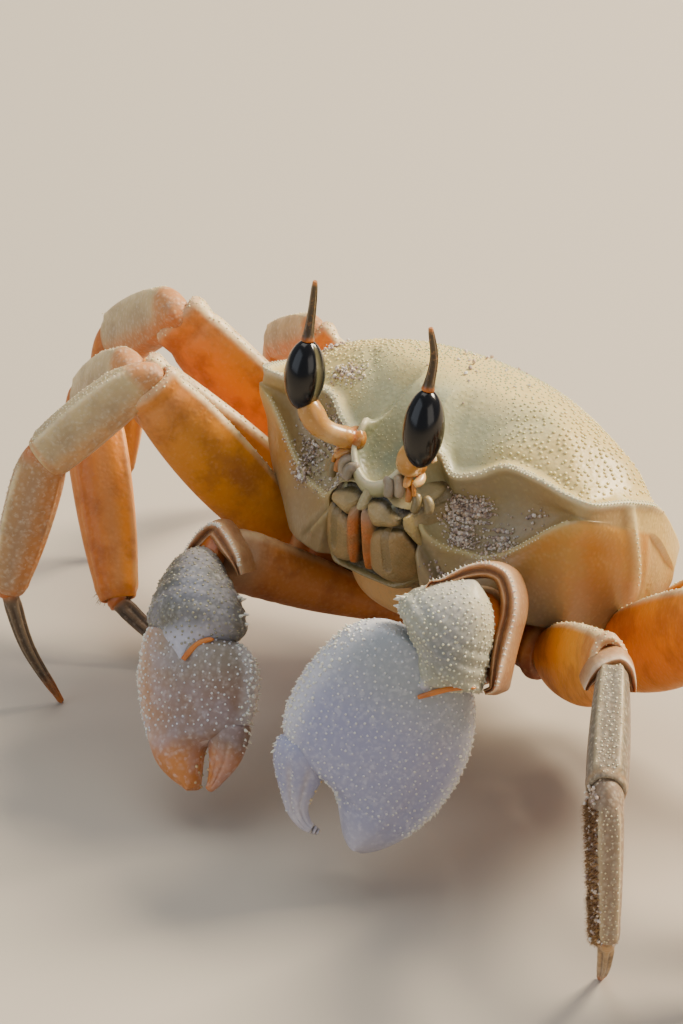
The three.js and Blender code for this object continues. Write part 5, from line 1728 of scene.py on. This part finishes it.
def build_claw(label):
    """One claw, from its arm to its fingers, with the rims and skin at its joints."""
    claw = CLAWS[label]
    wrist, tip = standing([claw["wrist"], claw["tip"]])
    along = tip - wrist
    face = unit(claw["outer_face"])
    dorsal = unit(np.cross(face, along)) * -claw["side"]
    outer = unit(np.cross(dorsal, along)) * -claw["side"]
    outer = outer if outer @ face > 0 else -outer

    start, end = wrist + along * PALM_START, tip
    length = length_of([start, end])
    thickest, thinning = PALM_WAIST
    rows = []
    for share, above, below in claw["palm"]:
        fullness = max(0.04, 1 - ((share - thickest) / thinning) ** 2)
        rows.append(((share - PALM_START) / (1 - PALM_START), above * SHELL, below * SHELL,
                     claw["palm_half"] * MM * math.sqrt(fullness)))
    palm = pulled_limb(rows, length, sides=20)
    laid(palm, [start, end], dorsal, length)
    co, out = coordinates(palm), normals(palm)
    share = ((co - wrist) @ along) / (along @ along)
    height = ((co - wrist) @ dorsal) / SHELL
    above, below = rows_at(claw["palm"], share)
    flat = np.where(height > 0, height / np.maximum(above, 0.01), height / np.maximum(below, 0.01))
    facing = out @ outer
    lift = -0.25 * MM * bell(flat, -0.55, 0.16) * bell(share, 0.55, 0.35) * (facing > 0)
    lift += 0.2 * MM * bell(flat, -0.93, 0.1) * rise(share, 0, 0.2)
    move_to(palm, co + out * lift[:, None])
    paint(palm, blended(
        len(co), colour(claw["palm_shade"]),
        (colour(claw["upper_shade"]), (1 - rise(share, 0.0, 0.35)) * 0.8),
        (colour("E4E2E4"), rise(np.abs(flat), 0.75, 1.0) * 0.6),
        (colour("D9A070"), (label == "right") * rise(-flat, 0.2, 1.0) * 0.5),
        (colour(claw["tip_shade"]), rise(share, claw["tip_from"], claw["tip_from"] + 0.25)),
        (colour("E9B98A"), (1 - rise(facing, -0.6, -0.1)) * 0.35)))
    finish(palm, f"claw_{label}_palm_granulate", material("claw"), "claw", f"claw_{label}_palm")

    finger_line = np.array([wrist + along * a + dorsal * h * SHELL for a, h, _ in claw["finger"]])
    finger_length = length_of(through(finger_line, 60))
    halves = [half * MM for _, _, half in claw["finger"]]
    rows = [(i / (len(halves) - 1), half, half, max(0.5 * MM, 0.8 * half)) for i, half in enumerate(halves)]
    rows = [(-0.1, rows[0][1] * 0.75, rows[0][2] * 0.75, rows[0][3] * 0.8)] + rows
    finger = pulled_limb(rows, finger_length, sides=16)
    co, s, high, angle, across = limb_measures(finger, rows, finger_length)
    grooves = ((bell(np.abs(angle), 1.15, 0.14) + bell(np.abs(angle), 1.9, 0.14))
               * rise(s, 0.1, 0.3) * (1 - rise(s, 0.8, 0.95)))
    move_to(finger, co - normals(finger) * (0.16 * MM * grooves)[:, None])
    paint(finger, blended(len(co), colour(claw["palm_shade"]), (colour("B7A89A"), grooves * 0.4),
                          (colour(claw["tip_shade"]), rise(s, claw["tip_from"] - 0.4, claw["tip_from"]))))
    laid(finger, finger_line, dorsal, finger_length)
    finish(finger, f"claw_{label}_finger_toothed", material("claw"), "claw", f"claw_{label}_finger")

    breadth = claw["carpus_breadth"]
    line = standing([claw["carpus_start"], claw["carpus_end"]])
    rows = scaled_rows(claw["carpus"], breadth)
    length = length_of(line)
    carpus = pulled_limb(rows, length, sides=16)
    co, s, high, angle, across = limb_measures(carpus, rows, length)
    ripple = np.sin(s * 40 + 1.5 * np.sin(4 * across)) * rise(s, 0.1, 0.3) * (1 - rise(s, 0.8, 1)) * 0.09 * MM
    lift = ripple
    move_to(carpus, co + normals(carpus) * lift[:, None])
    paint(carpus, blended(
        len(co), colour(claw["carpus_shade"]),
        (colour("666C74"), bell(s, 0.5, 0.28) * bell(high, 0.1, 0.5) * 0.7),
        (colour("C6BD9A"), (1 - rise(s, -0.1, 0.25)) * 0.8), (colour("B4B4C2"), rise(s, 0.85, 1.0))))
    laid(carpus, line + outer * np.array([[1.0], [1.7]]) * MM, dorsal, length)
    finish(carpus, f"claw_{label}_carpus_ridged", material("claw"), "claw", f"claw_{label}_carpus")

    arm = standing([claw["shoulder"], claw["elbow"]])
    rows = scaled_rows(CLAW_MERUS_ROWS, claw["merus_breadth"])
    length = length_of(arm)
    merus = pulled_limb(rows, length, sides=16)
    co, s, high, angle, across = limb_measures(merus, rows, length)
    ripple = np.sin(co[:, 2] / (0.3 * MM)) * (1 - rise(s, 0.8, 0.9)) * rise(s, 0.3, 0.5)
    move_to(merus, co + normals(merus) * (0.03 * MM * ripple)[:, None])
    paint(merus, blended(
        len(co), colour("B8702C"), (colour("A8805C"), rise(s, 0.6, 0.8)),
        (colour("6A4636"), rise(s, 0.9, 0.94)), (colour("86491A"), (1 - rise(high, -0.8, 0.0)) * 0.5),
        (np.array(tints().pale), rise(high, 0.85, 1.0) * 0.4)))
    laid(merus, arm, UP, length)
    finish(merus, f"claw_{label}_merus_shaft", material("leg"), "leg", f"claw_{label}_merus")

    rim, rim_out = joint_rim(f"claw_{label}_elbow_rim", "claw", line[0], claw["rim"], claw["rim_back"])
    b = breadth * MM
    elbow_way, wrist_way = arm[1] - arm[0], line[1] - line[0]
    web = np.array([line[0] + wrist_way * a + dorsal * h * b for a, h in claw["web"]])
    web += outer * 0.97 * claw["palm_half"] * MM
    skins = [
        skin_ball(lerp(line[1], wrist, 0.5), (0.24 * b, 0.3 * b, 0.18 * b), wrist_way, dorsal),
        skin_ball(lerp(line[0], arm[1], 0.5), (0.24 * b, 0.28 * b, 0.16 * b), elbow_way),
        skin_bar(web, 0.36 * MM),
    ]
    obj = joined(f"claw_{label}_joint_skin", skins)
    finish(obj, f"claw_{label}_joint_skin", material("membrane"), "claw")
    trim_claw(label, claw, palm, finger, carpus, (rim, rim_out), wrist, along, dorsal, outer, line)


def trim_claw(label, claw, palm, finger, carpus, rim, wrist, along, dorsal, outer, line):
    """Granules on the outer faces, spines on the edges and teeth on the gripping edges."""
    rng = np.random.default_rng(SEED + 11 * (claw["side"] + 2))
    radius = sizes().claw_granule / MM
    spines = [[], [], []]

    def edge_spines(piece, mask, gap, size, lean):
        co, out = coordinates(piece), normals(piece)
        picked = spread(co, mask(co, out), gap * MM, rng)
        spines[0].append(co[picked] - out[picked] * 0.1 * MM)
        spines[1].append(unit(out[picked] + np.asarray(lean) * 0.45))
        spines[2].append(size * sizes().spine * rng.uniform(0.65, 1.15, len(picked)))

    def on_palm(co):
        share = ((co - wrist) @ along) / (along @ along)
        height = ((co - wrist) @ dorsal) / SHELL
        above, below = rows_at(claw["palm"], share)
        return share, np.where(height > 0, height / np.maximum(above, 0.01), height / np.maximum(below, 0.01))

    co, out = coordinates(palm), normals(palm)
    share, flat = on_palm(co)
    facing = out @ outer
    bare = 0.78 if label == "left" else 0.6
    density = (rise(facing, -0.2, 0.4) * (1 - rise(share, bare - 0.12, bare))
               * lerp(0.5, 1, rise(np.abs(flat - 0.15), 0.2, 0.8)))
    keep_granules(palm, density, 0.66, 0.9 * radius, "D2D0D4")
    keep_granules(palm, rise(np.abs(flat), 0.82, 0.95) * (share < bare) * (share > -0.15),
                  0.55, radius * 1.3, "E2DFD8")
    if label == "left":
        keep_granules(finger, rise(normals(finger) @ unit(dorsal + 0.4 * outer), 0.55, 0.8),
                      0.55, radius * 0.8, "D6D4D4")
    co, out = coordinates(carpus), normals(carpus)
    s = ((co - line[0]) @ (line[1] - line[0])) / float((line[1] - line[0]) @ (line[1] - line[0]))
    keep_granules(carpus, rise(out @ outer, -0.3, 0.3) * (s < 1.1) * (s > -0.2), 0.55, radius * 0.98,
                  claw["bead_shade"])
    flush_granules(f"claw_{label}_granules", "granule", "claw")

    ahead = unit(along)
    edge_spines(palm, lambda c, n: (on_palm(c)[1] < -0.9) * (n @ dorsal < -0.93) * (on_palm(c)[0] > -0.05)
                * (on_palm(c)[0] < 0.86), 0.6, 0.8, ahead * 0.6)
    edge_spines(palm, lambda c, n: (n @ dorsal > 0.8) * (on_palm(c)[0] > -0.12) * (on_palm(c)[0] < 0.62),
                0.75, 0.95, ahead * 0.5)
    edge_spines(finger, lambda c, n: (n @ dorsal > 0.9)
                * (((c - wrist) @ ahead) < 0.9 * np.linalg.norm(along)), 0.62, 0.9, ahead)
    wrist_way = unit(line[1] - line[0])
    edge_spines(carpus, lambda c, n: (n @ dorsal > 0.93) * (((c - line[0]) @ wrist_way) > 0),
                0.75, 1.2, wrist_way * 0.4)
    edge_spines(carpus, lambda c, n: (n @ -dorsal > 0.95) * (((c - line[0]) @ wrist_way) > 0),
                0.8, 0.8, wrist_way * 0.6)
    crest, crest_out = (part[6:-8:2] + rng.normal(0, 0.02 * MM, part[6:-8:2].shape) for part in rim)
    spines[0].append(crest - crest_out * 0.05 * MM)
    spines[1].append(unit(crest_out + 0.3 * RIM_AHEAD))
    spines[2].append(0.62 * sizes().spine * rng.uniform(0.6, 1.2, len(crest)))
    obj = stamped(f"claw_{label}_spines", small("spine"), np.vstack(spines[0]), np.vstack(spines[1]),
                  np.concatenate(spines[2]), rng.uniform(0, 6.3, sum(len(s) for s in spines[2])))
    paint(obj, np.tile(colour("DAD6CA"), (len(obj.data.vertices), 1)))
    finish(obj, f"claw_{label}_spines", material("granule"), "claw")

    teeth = [[], [], []]
    for piece, sign, low, high in ((palm, 1, 0.7, 0.97), (finger, -1, 0.66, 1.02)):
        co, out = coordinates(piece), normals(piece)
        share = ((co - wrist) @ along) / (along @ along)
        picked = spread(co, (out @ (sign * dorsal) > 0.9) * (share > low) * (share < high), 0.8 * MM, rng)
        teeth[0].append(co[picked])
        teeth[1].append(out[picked])
        teeth[2].append(0.17 * MM * rng.uniform(0.7, 1.3, len(picked)))
    obj = stamped(f"claw_{label}_teeth", small("dome"), np.vstack(teeth[0]), np.vstack(teeth[1]),
                  np.concatenate(teeth[2]))
    paint(obj, np.tile(colour("CDB38A"), (len(obj.data.vertices), 1)))
    finish(obj, f"claw_{label}_teeth", material("granule"), "claw")


# ------------------------------------------------------------------ stage
VIEW_AZIMUTH = math.radians(42)
VIEW_ELEVATION = math.radians(29)
VIEW_DISTANCE = 0.56
VIEW_TARGET = (-0.0904, -0.2048, 0.6848)
VIEW_LENS = 183.1
FLOOR_SIZE = 6.0


def build_stage():
    """The floor, the lights and the camera."""
    deselect()
    bpy.ops.mesh.primitive_plane_add(size=FLOOR_SIZE, location=(0, 0, -0.0002))
    floor = bpy.context.object
    floor.name = "floor"
    material_ = bpy.data.materials.new("floor")
    material_.use_nodes = True
    shader = material_.node_tree.nodes["Principled BSDF"]
    shader.inputs["Base Color"].default_value = (*tints().floor, 1)
    shader.inputs["Roughness"].default_value = 0.9
    shader.inputs["Specular IOR Level"].default_value = 0.15
    floor.data.materials.append(material_)

    target = Vector(standing(VIEW_TARGET))
    level = math.cos(VIEW_ELEVATION)
    away = Vector((math.sin(VIEW_AZIMUTH) * level, -math.cos(VIEW_AZIMUTH) * level, math.sin(VIEW_ELEVATION)))
    camera = bpy.data.objects.new("camera", bpy.data.cameras.new("camera"))
    camera.data.sensor_fit = "VERTICAL"
    camera.data.sensor_height = 36
    camera.data.lens = VIEW_LENS
    camera.data.clip_start = 0.01
    camera.location = target + away * VIEW_DISTANCE
    camera.rotation_euler = (-away).to_track_quat("-Z", "Y").to_euler()
    bpy.context.scene.collection.objects.link(camera)
    bpy.context.scene.camera = camera

    middle = Vector(standing((0, 0.1, 0.6)))
    for name, place, size, power, tone in (
            ("key", (0.27, 0.62, 0.6), 0.3, 24.0, (1.0, 0.85, 0.64)),
            ("fill", (-0.35, -0.8, 0.45), 0.8, 2.6, (0.8, 0.88, 1.0)),
            ("side", (0.85, -0.2, 0.35), 0.6, 1.8, (1.0, 0.92, 0.82)),
            ("top", (-0.35, 0.1, 0.9), 0.7, 4.0, (1.0, 0.96, 0.9))):
        lamp = bpy.data.lights.new(name, "AREA")
        lamp.energy = power
        lamp.size = size
        lamp.color = tone
        light = bpy.data.objects.new(name, lamp)
        light.location = middle + Vector(place)
        light.rotation_euler = (middle - light.location).to_track_quat("-Z", "Y").to_euler()
        bpy.context.scene.collection.objects.link(light)
    world = bpy.data.worlds.new("studio")
    bpy.context.scene.world = world
    world.use_nodes = True
    world.node_tree.nodes["Background"].inputs["Color"].default_value = (0.78, 0.84, 0.92, 1)
    world.node_tree.nodes["Background"].inputs["Strength"].default_value = 0.34


# ------------------------------------------------------------------ operators
class CRAB_OT_shell(bpy.types.Operator):
    """Builds the carapace with its granules, beads and stuck sand"""
    bl_idname = "crab.shell"
    bl_label = "Carapace"

    def execute(self, context):
        obj, own, kind, rim = build_carapace()
        scatter_back(obj, own, kind, rim)
        scatter_sand(obj, own)
        return {"FINISHED"}


class CRAB_OT_underside(bpy.types.Operator):
    """Builds the breast plate and the tail flap"""
    bl_idname = "crab.underside"
    bl_label = "Underside"

    def execute(self, context):
        build_underside()
        return {"FINISHED"}


class CRAB_OT_mouth(bpy.types.Operator):
    """Builds the mouth plates, the mouth frame and the feelers"""
    bl_idname = "crab.mouth"
    bl_label = "Mouth"

    def execute(self, context):
        build_mouth()
        return {"FINISHED"}


class CRAB_OT_eyes(bpy.types.Operator):
    """Builds the eyes, their stalks and their horns"""
    bl_idname = "crab.eyes"
    bl_label = "Eyes"

    def execute(self, context):
        for label, side in SIDES:
            build_eye(label, side)
        return {"FINISHED"}


class CRAB_OT_legs(bpy.types.Operator):
    """Builds the eight walking legs with their joint skin, granules and bristles"""
    bl_idname = "crab.legs"
    bl_label = "Walking legs"

    def execute(self, context):
        rng = np.random.default_rng(SEED + 2)
        for leg in LEGS:
            propodus, line = build_leg(leg)
            flush_granules(f"{leg}_granules", "granule", "leg")
            fringed = leg == FRINGED
            side_way = np.array([-0.75, -0.66, 0.0]) if fringed else np.array([0, -0.5, -1.0])
            bristles(f"{leg}_bristles", propodus, line, side_way, 2600 if fringed else 160, (0.08, 0.99), rng)
            if fringed:
                heap = rise(normals(propodus) @ unit(side_way), 0.2, 1.0)
                sand_on(f"{leg}_sand", "pale_leg", propodus, [(heap, 260)], rng)
        return {"FINISHED"}


class CRAB_OT_claws(bpy.types.Operator):
    """Builds the two claws with their cuffs, granules, spines and teeth"""
    bl_idname = "crab.claws"
    bl_label = "Claws"

    def execute(self, context):
        for label, _ in SIDES:
            build_claw(label)
        return {"FINISHED"}


class CRAB_OT_stage(bpy.types.Operator):
    """Sets the floor, the lights and the camera"""
    bl_idname = "crab.stage"
    bl_label = "Stage"

    def execute(self, context):
        build_stage()
        return {"FINISHED"}


class CRAB_PT_sidebar(bpy.types.Panel):
    """Lists the crab's pieces, sizes and colours"""
    bl_idname = "CRAB_PT_sidebar"
    bl_label = "Ghost crab"
    bl_space_type = "VIEW_3D"
    bl_region_type = "UI"
    bl_category = "Ghost crab"

    def draw(self, context):
        for operator in OPERATORS:
            self.layout.operator(operator.bl_idname)
        for owner in (context.scene.crab_sizes, context.scene.crab_colours):
            for name in owner.__annotations__:
                self.layout.prop(owner, name)


OPERATORS = (CRAB_OT_stage, CRAB_OT_shell, CRAB_OT_underside, CRAB_OT_mouth, CRAB_OT_eyes, CRAB_OT_legs,
             CRAB_OT_claws)
CLASSES = (CrabSizes, CrabColours, *OPERATORS, CRAB_PT_sidebar)


def register():
    """Adds the settings, operators and panel."""
    for item in CLASSES:
        bpy.utils.register_class(item)
    bpy.types.Scene.crab_sizes = PointerProperty(type=CrabSizes)
    bpy.types.Scene.crab_colours = PointerProperty(type=CrabColours)


def unregister():
    """Removes the settings, operators and panel."""
    del bpy.types.Scene.crab_colours
    del bpy.types.Scene.crab_sizes
    for item in reversed(CLASSES):
        bpy.utils.unregister_class(item)


def main():
    """Builds everything."""
    register()
    for operator in OPERATORS:
        module, name = operator.bl_idname.split(".")
        getattr(getattr(bpy.ops, module), name)()


if __name__ == "__main__":
    main()
